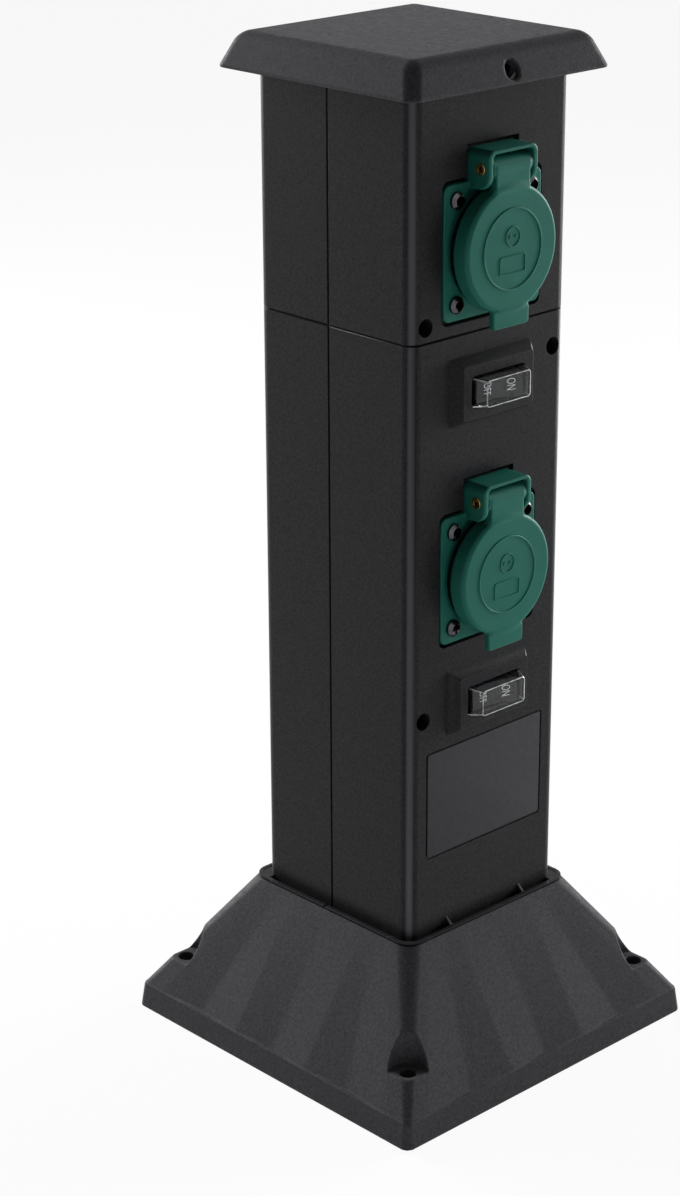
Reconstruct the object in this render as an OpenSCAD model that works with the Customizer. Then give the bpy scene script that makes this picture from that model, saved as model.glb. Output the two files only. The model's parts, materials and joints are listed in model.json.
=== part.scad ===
// Garden socket post: a square column on a hollow base, with two lidded sockets,
// a covered rocker switch under each socket, and an overhanging cap.
// Millimetres, +Z up, front face towards -Y, origin at the middle of the base's underside.

/* [Post] */
// Width and depth of the square column
post_w = 81.5; // [80:0.5:92]
// Radius of the column's upright corners
post_r = 5; // [3.5:0.5:8]
// Wall of the column's shells
shell_wall = 2.5; // [2:0.1:3]
// Distance of the seam between front and rear shells behind the middle
part_y = 2; // [0:0.5:5]
// Width of the shadow groove along the seams between the shells
seam_w = 0.8; // [0.4:0.1:1.2]
// Depth of the shadow groove along the seams
seam_deep = 1; // [0.5:0.1:1.4]
// Depth of the upper shells' spigot in the lower shells
spigot_h = 6; // [4:0.5:7]
// Wall of the spigot
spigot_wall = 1.6; // [1.2:0.1:2.4]
// Height of the ledge that carries the spigot
spigot_ledge = 4; // [2:0.5:6]
// Width of the foot flange around the column
foot_out = 4.4; // [3.5:0.1:6]
// Thickness of the foot flange
foot_t = 1; // [0.8:0.1:2]
// Corner radius of the foot flange
foot_r = 7; // [5:0.5:10]
// How deep the foot sits in the base's top
foot_sink = 3; // [2:0.1:4]
// Height of the foot's rim over the shadow gap
lip_h = 0.8; // [0.6:0.1:4]
// Thickness of the foot's upstanding lip
lip_t = 0.9; // [0.8:0.1:2]
// Distance of the small foot ribs from the middle
rib_x = 20.3; // [10:0.1:28]
// Thickness of the small foot ribs
rib_t = 1.2; // [0.8:0.1:2]
// Height of the small foot ribs
rib_h = 7; // [5:0.5:10]
// How far the small foot ribs end below the lip's top
rib_under = 0.2; // [0.1:0.1:0.6]

/* [Front layout] */
// Height of the label panel above the column's foot
label_up = 34.8; // [28:0.1:62]
// Width of the label panel
label_w = 63.6; // [40:0.1:66]
// Height of the label panel
label_h = 44.5; // [38:0.1:70]
// Width of the groove around the label panel
label_line = 0.8; // [0.5:0.1:1.1]
// Depth of the groove around the label panel
label_deep = 0.5; // [0.3:0.1:0.8]
// Corner radius of the label panel
label_r = 1.5; // [1.2:0.1:4]
// Gap between the label panel and the lower plinth
label_gap = 4.6; // [3:0.1:20]
// Height from the lower switch to the lower socket
switch_to_socket = 49.6; // [48:0.1:70]
// Height from the lower socket to the upper switch
socket_to_switch = 72.2; // [64:0.1:100]
// Height from the upper switch to the seam between the modules
switch_to_seam = 21.7; // [21:0.1:40]
// Height from the seam between the modules to the upper socket's flange
seam_to_flange = 5.4; // [5:0.1:25]
// Height from the upper socket to the column's top
socket_to_top = 69.5; // [66:0.1:100]

/* [Base] */
// Width of the base on the ground
base_w = 158; // [152:1:190]
// Height of the base
base_h = 60.2; // [50:0.1:75]
// Height of the skirt under the slopes
skirt_h = 10.5; // [8:0.1:14]
// How far each side of the skirt leans in
skirt_draft = 1.2; // [0.6:0.1:2]
// Ledge where the slopes meet the skirt
skirt_ledge = 0.3; // [0.2:0.1:0.8]
// Wall of the base, measured level
base_wall = 4.4; // [4:0.1:5.5]
// Thickness of the base's top plate
base_top_t = 4; // [3:0.1:5]
// Corner radius of the base on the ground
base_r = 3; // [2:0.5:5]
// Corner radius of the base's top
base_top_r = 7; // [4:0.5:8]
// Depth of the flutes in the slopes at the skirt
flute_deep = 1.4; // [0.6:0.1:2]
// Distance of the ridges between flutes from the middle
flute_ridge = 20; // [14:0.5:26]
// Distance of the outer flutes' ends from the middle
flute_end = 66; // [56:0.5:70]
// Height of the shadow gap under the foot's rim
shadow_h = 0.5; // [0.4:0.1:1.2]
// Width of the base's edge under the foot's rim
shadow_in = 0.6; // [0.5:0.1:1.5]
// Diameter of the cable opening in the top plate
cable_d = 46; // [40:1:50]
// Spacing of the fixing holes in the base
fix_pitch = 129; // [126:0.5:132]
// Diameter of the fixing holes
fix_d = 6.5; // [5:0.1:7]
// Diameter of the corner pockets
pocket_d = 15; // [12:0.5:16]
// Height of the corner pockets' floors
pocket_z = 22.5; // [18:0.5:26]
// Diameter of the columns under the corner pockets
column_d = 22; // [19:0.5:24]
// Height of the cable inlet above the ground
inlet_z = 24; // [20:0.5:28]
// Diameter of the cable inlet's boss
inlet_d = 21; // [20:0.5:24]
// Distance of the inlet boss's outer end from the base's edge
inlet_inset = 5.5; // [4.5:0.5:8]
// Length of the inlet boss
inlet_len = 21; // [19:0.5:26]

/* [Cap] */
// How far the cap's rim stands out over the column
cap_out = 10.4; // [9:0.1:13]
// Height of the cap
cap_h = 13.3; // [12.5:0.1:18]
// Height of the upright band along the cap's rim
cap_band = 1; // [0.6:0.1:2]
// How far each side of the cap leans in
cap_lean = 5.3; // [3:0.1:6]
// Thickness of the cap's top
cap_t = 2.5; // [2:0.1:3]
// Wall of the cap's skirt
cap_wall = 2.5; // [2:0.1:3]
// Radius of the cap's top edge
cap_edge_r = 4; // [2:0.5:5]
// Corner radius of the cap
cap_r = 5; // [3:0.5:7]
// Height of the cap screws above the rim
cap_screw_up = 5; // [4.8:0.1:6]
// Thickness of the cap's bosses under its screws' heads
cap_seat = 3; // [2.5:0.1:3.5]

/* [Shell screws] */
// Diameter of the bosses for the shell screws
boss_d = 10.4; // [9.6:0.1:11]
// How far the bosses sink into the side walls
boss_sink = 0.5; // [0.3:0.1:1]
// Diameter of the holes that take the screw heads
well_d = 6.8; // [6.4:0.1:7]
// Distance of the screw heads' seats in front of the seam
seat_in = 8; // [6:0.5:20]
// Length of the shell screws
shell_screw_l = 26; // [22:1:30]
// Height of the upper front hole above the module seam
hole_over_seam = 5.5; // [5.3:0.1:12]
// Depth of the lower front hole below the module seam
hole_under_seam = 14.2; // [12:0.1:20]
// Depth of the top hole below the column's top
hole_under_top = 8; // [6:0.1:9]
// Depth of the lowest hole below the lower switch's middle
hole_under_switch = 3.6; // [0:0.1:10]
// Distance of the base screws from the middle, front and rear
base_screw_y = 31; // [26:0.5:32]
// Height of the bosses for the base screws
foot_boss_h = 18; // [14:1:24]
// Length of the base screws
base_screw_l = 16; // [10:1:18]
// Length of the cap screws
cap_screw_l = 10; // [8:0.5:12]
// Length of the bosses for the cap screws
cap_boss_l = 8; // [6:0.5:10]
// Diameter of the bosses for the cap screws
cap_boss_d = 8.8; // [8.2:0.1:9.4]
// Diameter of the casing screws
screw_d = 3.5; // [3:0.1:4]
// Diameter of the casing screws' heads
screw_head_d = 6; // [5.5:0.1:6.2]
// Height of the casing screws' heads
screw_head_h = 2.4; // [2:0.1:3]

/* [Socket] */
// How far the socket's flange reaches past the lid on each side
flange_over = 1.5; // [1:0.1:2.5]
// Thickness of the flange
flange_t = 2; // [1.6:0.1:3]
// How far the flange stands out of the column
flange_proud = 0.4; // [0.2:0.1:1]
// Corner radius of the flange
flange_r = 3; // [2:0.1:5]
// Thickness of the flange's gasket
gasket_t = 1.2; // [1:0.1:2]
// Gap beside the flange in its recess
recess_side = 0.6; // [0.4:0.1:1.2]
// Gap above and below the flange in its recess
recess_end = 1.4; // [0.6:0.1:2]
// Thickness of the recess's floor
recess_floor = 2.5; // [2:0.1:3.5]
// Distance of the flange's four screws from its edges
flange_screw_in = 6; // [5:0.1:6.5]
// Diameter of the flange screws
flange_screw_d = 3.2; // [2.8:0.1:3.5]
// Diameter of the flange screws' heads
flange_head_d = 6.5; // [5.5:0.1:6.6]
// Height of the flange screws' heads
flange_head_h = 2.2; // [1.6:0.1:2.4]
// Length of the flange screws
flange_screw_l = 12; // [9:0.5:14]
// How far the flange screws' bosses reach past them
flange_boss_over = 2; // [1.5:0.1:3]
// Gap between the collar round the socket's well and the lid's skirt
collar_gap = 0.8; // [0.4:0.1:1.2]
// Wall of the collar
collar_wall = 1.45; // [1.2:0.05:1.8]
// How far the collar stands out of the column
collar_out = 7; // [6:0.1:7.4]
// Depth of the socket's well
well_deep = 17.5; // [16:0.1:18.5]
// Thickness of the well's bottom
well_floor = 3.5; // [2.5:0.1:4.5]
// How far the insert's body behind the flange reaches past the collar
insert_step = 1.1; // [0.8:0.1:1.4]
// How far the insert's clamped rim reaches past its body
rim_step = 1.5; // [1.2:0.1:1.7]
// Depth of the insert behind the column's face
insert_deep = 32; // [30:0.5:35]
// Distance between the two pin holes
pin_pitch = 19; // [18.5:0.1:19.5]
// Diameter of the pin holes
pin_hole_d = 5.5; // [5:0.1:5.8]
// Width of the guide ribs in the well
guide_w = 5; // [4:0.1:6]
// Height of the guide ribs in the well
guide_h = 1.5; // [1:0.1:2]
// Depth of the guide ribs' ends behind the collar's rim
guide_in = 2; // [1:0.1:4]
// Outer diameter of the contact sleeves
contact_d = 6.4; // [6:0.1:6.8]
// Inner diameter of the contact sleeves
contact_bore = 4.9; // [4.8:0.1:5.1]
// Length of the contact sleeves
contact_l = 15; // [12:0.5:16]
// Thickness of a contact sleeve's closed end
contact_end = 1.5; // [1:0.1:2]
// Width of the earth clip
earth_w = 6; // [5:0.1:7]
// Thickness of the earth clip
earth_t = 0.8; // [0.6:0.1:1]
// How far the earth clip's noses reach into the well
earth_nose = 2.4; // [1.6:0.1:3]
// Gap between the earth clip's arms and the well's wall
earth_side = 0.5; // [0.4:0.1:0.8]
// How far the earth clip's tips lean in
earth_lean = 0.6; // [0.3:0.1:1]
// Depth of the earth clip's tips behind the collar's rim
earth_tip = 3; // [2:0.1:4]
// Depth of the earth clip's noses behind the collar's rim
earth_mid = 7; // [6:0.1:9]
// Depth of the earth clip's bends behind the collar's rim
earth_root = 14; // [12:0.1:16]
// Depth of the earth clip's strap behind the contact sleeves' mouths
earth_in = 1.2; // [0.9:0.1:2]

/* [Lid] */
// Diameter of the lid
lid_d = 47; // [46.6:0.1:48]
// Thickness of the lid's plate
lid_t = 2; // [1.6:0.1:2.4]
// Wall of the lid's skirt
lid_wall = 1.5; // [1.2:0.1:1.6]
// Distance of the skirt's edge from the column's face
lid_back = 3.5; // [3.2:0.1:5]
// Radius of the lid's front edge
lid_edge_r = 1.6; // [1:0.1:1.8]
// Diameter of the raised ring on the lid
ring_d = 29.7; // [20:0.1:36]
// Width of the raised ring on the lid
ring_w = 0.9; // [0.6:0.1:2]
// Height of the raised ring on the lid
ring_h = 0.3; // [0.2:0.1:0.6]
// Width of the lid's finger tab
tab_w = 18.6; // [14:0.1:22]
// Length of the finger tab past the lid's edge
tab_l = 5.3; // [3:0.1:8]
// Thickness of the finger tab
tab_t = 2.4; // [2:0.1:3]
// Corner radius of the finger tab
tab_r = 1.5; // [1:0.1:4]
// Thickness of the lid's arm
arm_t = 3.2; // [3:0.1:3.6]
// Width of the lid's arm
arm_w = 17.4; // [14:0.1:18]
// Height of the hinge pin above the lid's edge
hinge_over = 6.5; // [6:0.1:8]
// Distance of the hinge pin from the column's face
hinge_out = 6.1; // [6:0.1:7]
// Radius of the lid's hinge barrel
barrel_r = 4.1; // [4:0.1:4.4]
// Diameter of the hinge pin
hinge_d = 3.2; // [2.8:0.1:3.3]
// Diameter of the hole in the tubular hinge pin
hinge_bore = 1.8; // [1:0.1:2]
// Diameter of the hinge pin's heads
hinge_head_d = 4.2; // [4:0.1:5]
// Thickness of the hinge pin's heads
hinge_head_t = 0.5; // [0.3:0.1:1]
// Thickness of the lid's seal at its ring
seal_w = 3; // [2:0.1:3.2]

/* [Hood] */
// Width of the hinge hood
hood_w = 25.2; // [24:0.1:27]
// Thickness of the hood's cheeks
cheek_t = 2.2; // [1.8:0.1:2.4]
// Thickness of the hood's roof
roof_t = 1.4; // [1.2:0.1:1.6]
// Height of the roof above the hinge pin
roof_up = 6.8; // [6.6:0.1:8]
// Depth of the cheeks' lower ends under the hinge pin
cheek_down = 7.4; // [6:0.1:7.6]
// Radius of the cheeks' lower front corners
cheek_r = 5; // [4.6:0.1:6]
// Radius of the hood's upper corners
hood_r = 3; // [2:0.1:4]

/* [Lid spring] */
// Diameter of the spring's wire
wire_d = 0.9; // [0.7:0.05:0.9]
// Mean radius of the spring's coil
coil_r = 2.4; // [2.3:0.05:2.5]
// Turns of the spring's coil
coil_turns = 4; // [3:1:4]
// Distance from one turn to the next
coil_pitch = 1.4; // [1.35:0.01:1.5]
// Length of the spring's leg in the lid's arm
leg_lid = 7; // [5:0.1:7.2]
// Length of the spring's leg in the hood's lug
leg_lug = 5.5; // [5.2:0.1:5.6]
// Diameter of the holes that take the spring's legs
leg_hole = 1.5; // [1.4:0.05:1.6]
// Height of the lug that holds the spring's fixed leg
lug_h = 1.4; // [1:0.1:1.5]
// Width of the lug that holds the spring's fixed leg
lug_w = 3.2; // [2.8:0.1:4]

/* [Switch] */
// Width of the switch plinth on the column
plinth_w = 42.8; // [40:0.1:48]
// Height of the switch plinth on the column
plinth_h = 26; // [25:0.1:30]
// Width of the plinth's front
plinth_front_w = 36.6; // [36:0.1:40]
// Height of the plinth's front
plinth_front_h = 20.5; // [20:0.1:24]
// How far the plinth stands out
plinth_out = 4.5; // [4:0.1:6]
// Thickness of the plinth's front plate
plinth_t = 2.5; // [2:0.1:3]
// Radius of the plinth's corners
plinth_r = 1; // [0.5:0.1:2]
// Width of the lugs in the plinth that hold the switch's flange
switch_lug_w = 8; // [5:0.5:12]
// How far those lugs reach behind the switch's flange
switch_lug = 0.8; // [0.5:0.1:1.2]
// Width of the switch's clear cover at the plinth
cover_w = 27.6; // [27:0.1:30]
// Height of the clear cover at the plinth
cover_h = 11.6; // [11.2:0.1:13]
// Width of the clear cover's front
cover_front_w = 23; // [22.4:0.1:25]
// Height of the clear cover's front
cover_front_h = 10.2; // [10:0.1:11]
// How far the clear cover stands out of the plinth
cover_out = 5.3; // [5:0.1:7]
// Wall of the clear cover
cover_wall = 0.8; // [0.6:0.1:0.9]
// Corner radius of the clear cover
cover_r = 1.4; // [1.2:0.1:2]
// Thickness of the clear cover's rim behind the plinth
cover_rim_t = 1; // [0.8:0.1:1.4]
// Width of the switch's flange
switch_flange_w = 31.6; // [31:0.1:32.4]
// Height of the switch's flange
switch_flange_h = 15.6; // [15.2:0.1:16.4]
// Thickness of the switch's flange
switch_flange_t = 1.8; // [1.4:0.1:2]
// Width of the switch's body
switch_w = 27; // [26.6:0.1:28]
// Height of the switch's body
switch_h = 11.6; // [11.4:0.1:12]
// Depth of the switch's body behind the column's face
switch_deep = 20; // [17:0.5:24]
// Wall of the switch's body
switch_wall = 1; // [0.9:0.1:1.2]
// Depth of the switch's inside behind the column's face
switch_room = 10; // [9:0.5:11]
// Half the length of the rocker
rocker_l = 10.6; // [9.5:0.1:10.8]
// Tilt of each half of the rocker
rocker_tilt = 8; // [5:0.5:9]
// Depth of the rocker's axle behind the column's face
rocker_in = 1.5; // [1:0.1:2]
// Height of the rocker's middle above its axle
rocker_up = 6.1; // [5.5:0.1:6.3]
// Distance of the rocker's underside from its axle
rocker_down = 2.4; // [2:0.1:3]
// Half the width of the rocker's underside
rocker_foot = 7; // [6:0.1:8]
// How far the rocker's ends taper in
rocker_taper = 1; // [0.5:0.1:1.5]
// Diameter of the rocker's axle
axle_d = 2.4; // [2:0.1:2.8]
// Thickness of the contact bridge under the rocker
bridge_t = 0.8; // [0.6:0.1:1]
// Width of the contact bridge
bridge_w = 4; // [3:0.1:5]
// How far the contact bridge reaches past the rocker's axle
bridge_back = 2; // [1:0.1:3]
// How far the contact bridge reaches past the switched blade
bridge_over = 1; // [0.6:0.1:1.5]
// Width of the terminal blades
blade_w = 4.8; // [4:0.1:5.5]
// Thickness of the terminal blades
blade_t = 0.8; // [0.6:0.1:1]
// How far the blades stick out behind the switch
blade_l = 8; // [6:0.5:10]
// Distance of the switched blade from the middle
blade_x = 7; // [6:0.1:7.5]

/* [Wiring] */
// Height of the terminal block above the column's foot
block_up = 47; // [40:0.5:62]
// Width of the terminal block
block_w = 32; // [30:0.5:36]
// Height of the terminal block
block_h = 22; // [20:0.5:28]
// Depth of the terminal block
block_d = 17; // [16:0.5:20]
// Corner radius of the terminal block
block_r = 1; // [0.5:0.1:2]
// Height of the standoffs behind the terminal block
block_off = 2; // [1.5:0.5:5]
// Diameter of the standoffs behind the terminal block
standoff_d = 7; // [6:0.1:9]
// Depth of the terminal block's own screws below its front
block_seat = 3; // [2.4:0.1:5]
// Diameter of the terminal block's own screws' heads
block_head_d = 5.6; // [5:0.1:6]
// Height of the terminal block's own screws' heads
block_head_h = 2; // [1.6:0.1:2.2]
// Spacing of the terminal block's poles
pole_pitch = 10.5; // [10.2:0.1:11]
// Diameter of the brass clamps
clamp_d = 6.4; // [6:0.1:6.4]
// Diameter of the hole through a brass clamp
clamp_bore = 4.2; // [3.6:0.1:4.4]
// Depth of the brass clamps' ends inside the terminal block
clamp_in = 1; // [0.5:0.1:2]
// Diameter of the clamping screws
grub_d = 3; // [2.5:0.1:3]
// Depth of the clamping screws below the terminal block's front
grub_in = 1.5; // [1:0.1:2.5]
// How far the clamping screws reach into the clamps' bores
grub_bite = 0.8; // [0.4:0.1:1]
// Width of the slots in the clamping screws
grub_slot = 0.7; // [0.5:0.1:0.9]
// Depth of the slots in the clamping screws
grub_slot_deep = 1; // [0.6:0.1:1.4]
// Diameter of an insulated wire
core_d = 2.6; // [2.2:0.1:2.6]
// Distance between two wires in one clamp
core_gap = 3; // [3:0.1:3.4]
// How far the wires swing back where they come from below
core_slack = 4; // [2:0.5:6]
// How far the wires between switches and sockets swing back
core_loop = 26; // [22:0.5:28]
// Inner diameter of the cable grommet
grommet_bore = 10; // [8:0.1:11]
// Outer diameter of the cable grommet's sleeve
grommet_d = 14; // [13:0.1:15]
// Diameter of the cable grommet's rims
grommet_rim_d = 18; // [17:0.1:19]
// Thickness of the cable grommet's rims
grommet_rim_t = 2; // [1.5:0.1:3]

/* [Fits] */
// Gap between pieces that slip together
fit = 0.3; // [0.2:0.05:0.4]
// Gap around threads and fixed pins
thread_fit = 0.05; // [0.03:0.01:0.1]
// Gap around pins that turn
turn_fit = 0.08; // [0.05:0.01:0.1]
// Gap between a moving piece and what it rests on
rest_gap = 0.25; // [0.2:0.05:0.4]

/* [Hidden] */
$fn = 48;
// How far cuts reach past the faces that they open, and joined pieces into each other
over = 1;

// Widths of a socket's pieces, and their places above and below its middle
flange_w = lid_d + 2 * flange_over;
flange_pitch = flange_w - 2 * flange_screw_in;
collar_d = lid_d - 2 * lid_wall - 2 * collar_gap;
well_in_d = collar_d - 2 * collar_wall;
insert_d = collar_d + 2 * insert_step;
rim_d = insert_d + 2 * rim_step;
hinge_up = lid_d / 2 + hinge_over;
tab_down = lid_d / 2 + tab_l;

// Heights up the column
foot_z = base_h - foot_sink;
lip_z = base_h + shadow_h + lip_h;
label_z = foot_z + label_up;
lower_switch_z = label_z + label_h + label_gap + plinth_h / 2;
lower_socket_z = lower_switch_z + switch_to_socket;
upper_switch_z = lower_socket_z + socket_to_switch;
seam_z = upper_switch_z + switch_to_seam;
upper_socket_z = seam_z + seam_to_flange + flange_w / 2;
top_z = upper_socket_z + socket_to_top;
total_h = top_z + cap_t;
cap_z = total_h - cap_h;
block_z = foot_z + block_up;

// Widths of the column, the foot and the cap
face_y = post_w / 2;
inner_w = post_w - 2 * shell_wall;
inner_r = post_r - shell_wall;
foot_w = post_w + 2 * foot_out;
base_top_w = foot_w;
recess_w = base_top_w - 2 * shadow_in;
lip_w = recess_w - 2 * fit;
lip_r = foot_r - shadow_in - fit;
cap_w = post_w + 2 * cap_out;
boss_x = inner_w / 2 - boss_d / 2 + boss_sink;
inlet_y = base_w / 2 - inlet_inset;
thread_r = screw_d / 2 + thread_fit;
pass_r = screw_d / 2 + fit;

// Places along the socket's own axis, outwards from the column's face
recess_deep = gasket_t + flange_t - flange_proud;
flange_back = flange_proud - flange_t;
lid_front = hinge_out + barrel_r;
lid_under = lid_front - lid_t;
hood_top = hinge_up + roof_up;
cheek_low = hinge_up - cheek_down;
hood_in = hood_w - 2 * cheek_t;
well_bottom = collar_out - well_deep;
sleeve_front = well_bottom - well_floor;
sleeve_back = sleeve_front - contact_l;
earth_back = sleeve_front - earth_in;
earth_arm_y = well_in_d / 2 - earth_side;
flange_boss = flange_screw_l + flange_boss_over;
seal_out_r = lid_d / 2 - lid_wall - fit;
skirt_in_r = lid_d / 2 - lid_wall;

// Places along the switch's own axis
plinth_back = plinth_out - plinth_t;
cover_back = plinth_back - cover_rim_t;
cover_front = plinth_out + cover_out;
blade_end = -switch_deep - blade_l;
bridge_low = rocker_down + bridge_t;
contact_reach = bridge_low * cos(rocker_tilt) + (blade_x + bridge_over) * sin(rocker_tilt);

// Places along the terminal block's own axis
pole_out = block_off + block_d / 2;
core_top = block_h / 2 - clamp_in;

LEVELS = [["upper", upper_socket_z, upper_switch_z], ["lower", lower_socket_z, lower_switch_z]];
FIXED_NAMES = ["base", "lower_front_shell", "lower_rear_shell", "upper_front_shell", "upper_rear_shell",
  "cap", "shell_screws", "base_screws", "cap_screws", "cable_grommet", "terminal_block",
  "terminal_clamps", "terminal_screws", "live_wires", "neutral_wires", "earth_wires"];
LEVEL_NAMES = ["socket_gasket", "socket_frame", "socket_insert", "socket_contacts", "earth_clip",
  "socket_screws", "lid", "lid_seal", "hinge_pin", "lid_spring", "switch_body", "rocker",
  "contact_bridge", "switch_terminals", "switch_cover"];

// Colours as photographed
BLACK = [0.19, 0.19, 0.2];
GREEN = [0.18, 0.38, 0.32];
RUBBER = [0.06, 0.06, 0.06];
STEEL = [0.45, 0.45, 0.47];
BRASS = [0.72, 0.55, 0.25];
CLEAR = [0.75, 0.78, 0.8, 0.5];
NYLON = [0.8, 0.8, 0.76];
BROWN = [0.35, 0.2, 0.12];
BLUE = [0.15, 0.3, 0.6];
EARTH = [0.45, 0.6, 0.15];

// Helpers that place and shape

// A child drawn at the column's face: X right, Y up, Z out of the face
module on_face(z) {
  translate([0, -face_y, z]) rotate([90, 0, 0]) children();
}

// A child drawn at the rear wall's inside: X right, Y up, Z into the column
module on_rear(z) {
  translate([0, inner_w / 2, z]) rotate([90, 0, 0]) children();
}

// A rounded rectangle
module plate(w, h, r) {
  square([w - 2 * r, h], center = true);
  square([w, h - 2 * r], center = true);
  for (sx = [-1, 1], sy = [-1, 1])
    translate([sx * (w / 2 - r), sy * (h / 2 - r)]) circle(r);
}

// A rounded rectangle between two heights
module slab(w, h, r, z0, z1) {
  translate([0, 0, z0]) linear_extrude(z1 - z0) plate(w, h, r);
}

// A box between two corners
module bar(low, high) {
  translate(low) cube(high - low);
}

// A round bar along Z between two heights
module rod(r, z0, z1) {
  translate([0, 0, z0]) cylinder(r = r, h = z1 - z0);
}

// A round bar along X through the point y, z
module rod_x(r, x0, x1, y, z) {
  translate([x0, y, z]) rotate([0, 90, 0]) cylinder(r = r, h = x1 - x0);
}

// A round bar along Y through the point x, z
module rod_y(r, y0, y1, x, z) {
  translate([x, y0, z]) rotate([-90, 0, 0]) cylinder(r = r, h = y1 - y0);
}

// A child outline in (z, y) drawn along X
module along_x(x0, x1) {
  translate([x0, 0, 0]) rotate([0, 90, 0]) linear_extrude(x1 - x0) mirror([1, 0]) children();
}

// The same child on all four corners of a rectangle
module corners(dx, dy) {
  for (sx = [-1, 1], sy = [-1, 1]) translate([sx * dx, sy * dy, 0]) children();
}

// A closed skin over a row of rings that have equally many points.
// Each four-sided patch folds from its first lower point, or from its second one where fold is 1.
// Both ends are closed by fans around the middles of the end rings.
module skin(rings, fold = []) {
  n = len(rings[0]);
  m = len(rings);
  sides = [for (i = [0:m - 2]) for (k = [0:n - 1]) for (half = [0, 1])
    let (a = i * n + k, b = i * n + (k + 1) % n)
    fold[k] == 1 ? (half == 0 ? [a, a + n, b] : [b, a + n, b + n])
      : (half == 0 ? [a, a + n, b + n] : [a, b + n, b])];
  bottom = [for (k = [0:n - 1]) [k, (k + 1) % n, m * n]];
  top = [for (k = [0:n - 1]) [m * n - n + (k + 1) % n, m * n - n + k, m * n + 1]];
  middles = [middle(rings[0]), middle(rings[m - 1])];
  polyhedron(concat([for (r = rings) for (p = r) p], middles), concat(sides, bottom, top));
}

function unit(v) = v / norm(v);

function middle(ring) = [for (axis = [0:2]) sum([for (p = ring) p[axis]]) / len(ring)];

function sum(values, at = 0) = at == len(values) ? 0 : values[at] + sum(values, at + 1);

// The six or eight points of a tube's ring around a path point [place, direction]
function tube_ring(at, r, sides) =
  let (n = unit(cross(at[1], [1, 0, 0])), b = cross(at[1], n))
  [for (k = [0:sides - 1]) at[0] + r * (cos(360 * k / sides) * n + sin(360 * k / sides) * b)];

// A rounded rectangle's ring of points at one height
function round_ring(w, h, r, z, steps = 3) =
  [for (q = [0:3]) for (j = [0:steps])
    let (a = 90 * (q + j / steps), cx = (q == 0 || q == 3 ? 1 : -1) * (w / 2 - r),
      cy = (q < 2 ? 1 : -1) * (h / 2 - r))
    [cx + r * cos(a), cy + r * sin(a), z]];

// A base ring at one height. Along each side run a plain end, three flutes whose middles lie
// deep behind the side, and another plain end; then comes the rounded corner.
function flute_ring(half, r, ridge, wide, deep, z, steps = 3) =
  let (end = half - r, mid = (ridge + wide) / 2,
    side = [[half, -end], [half, -wide], [half - deep, -mid], [half, -ridge], [half - deep, 0],
      [half, ridge], [half - deep, mid], [half, wide], [half, end]],
    corner = [for (j = [1:steps - 1]) end * [1, 1] + r * [cos(90 * j / steps), sin(90 * j / steps)]])
  [for (q = [0:3]) for (p = concat(side, corner))
    [p[0] * cos(90 * q) - p[1] * sin(90 * q), p[0] * sin(90 * q) + p[1] * cos(90 * q), z]];

// Which patches of one side fold the other way, so that each flute is the same left and right
FLUTE_FOLD = [0, 1, 0, 1, 0, 1, 0, 0, 0, 0, 0];

// Shares of a pan head's diameter and height: its flat crown, and its cross slots
CROWN_R = 0.34;
CROSS_W = 0.16;
CROSS_L = 0.62;
CROSS_DEEP = 0.5;

// A pan-head screw along Z with the head's seat at 0
module pan_screw(d, head_d, head_h, length) {
  slot_w = head_d * CROSS_W;
  slot_l = head_d * CROSS_L;
  slot_deep = head_h * CROSS_DEEP;
  difference() {
    union() {
      rod(d / 2, -length, head_h / 2);
      rod(head_d / 2, 0, head_h / 2);
      translate([0, 0, head_h / 2]) cylinder(r1 = head_d / 2, r2 = head_d * CROWN_R, h = head_h / 2);
    }
    for (turn = [0, 90])
      rotate(turn)
        bar([-slot_l / 2, -slot_w / 2, head_h - slot_deep], [slot_l / 2, slot_w / 2, head_h + over]);
  }
}

// The base

// A base ring whose outer flutes keep their share of the side
function base_ring(half, r, deep, z) =
  flute_ring(half, r, flute_ridge, flute_ridge + (half - r - flute_ridge)
    * (flute_end - flute_ridge) / (base_w / 2 - base_r - flute_ridge), deep, z);

slope_half = base_w / 2 - skirt_draft - skirt_ledge;
roof_z = foot_z - base_top_t;
slope_lean = (slope_half - base_top_w / 2) / (base_h - skirt_h);

module base_outside() {
  skirt_w = base_w - 2 * skirt_draft;
  folds = [for (q = [0:3]) for (f = FLUTE_FOLD) f];
  skin([round_ring(base_w, base_w, base_r, 0), round_ring(skirt_w, skirt_w, base_r, skirt_h)]);
  skin([base_ring(slope_half, base_r, flute_deep, skirt_h - over),
    base_ring(slope_half, base_r, flute_deep, skirt_h),
    base_ring(base_top_w / 2, base_top_r, 0, base_h)], folds);
}

module base_inside() {
  skirt_half = slope_half - base_wall;
  top_half = slope_half - slope_lean * (roof_z - skirt_h) - base_wall;
  skin([round_ring(2 * skirt_half, 2 * skirt_half, base_r, -over),
    round_ring(2 * skirt_half, 2 * skirt_half, base_r, skirt_h),
    round_ring(2 * top_half, 2 * top_half, base_r, roof_z)]);
}

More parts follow.
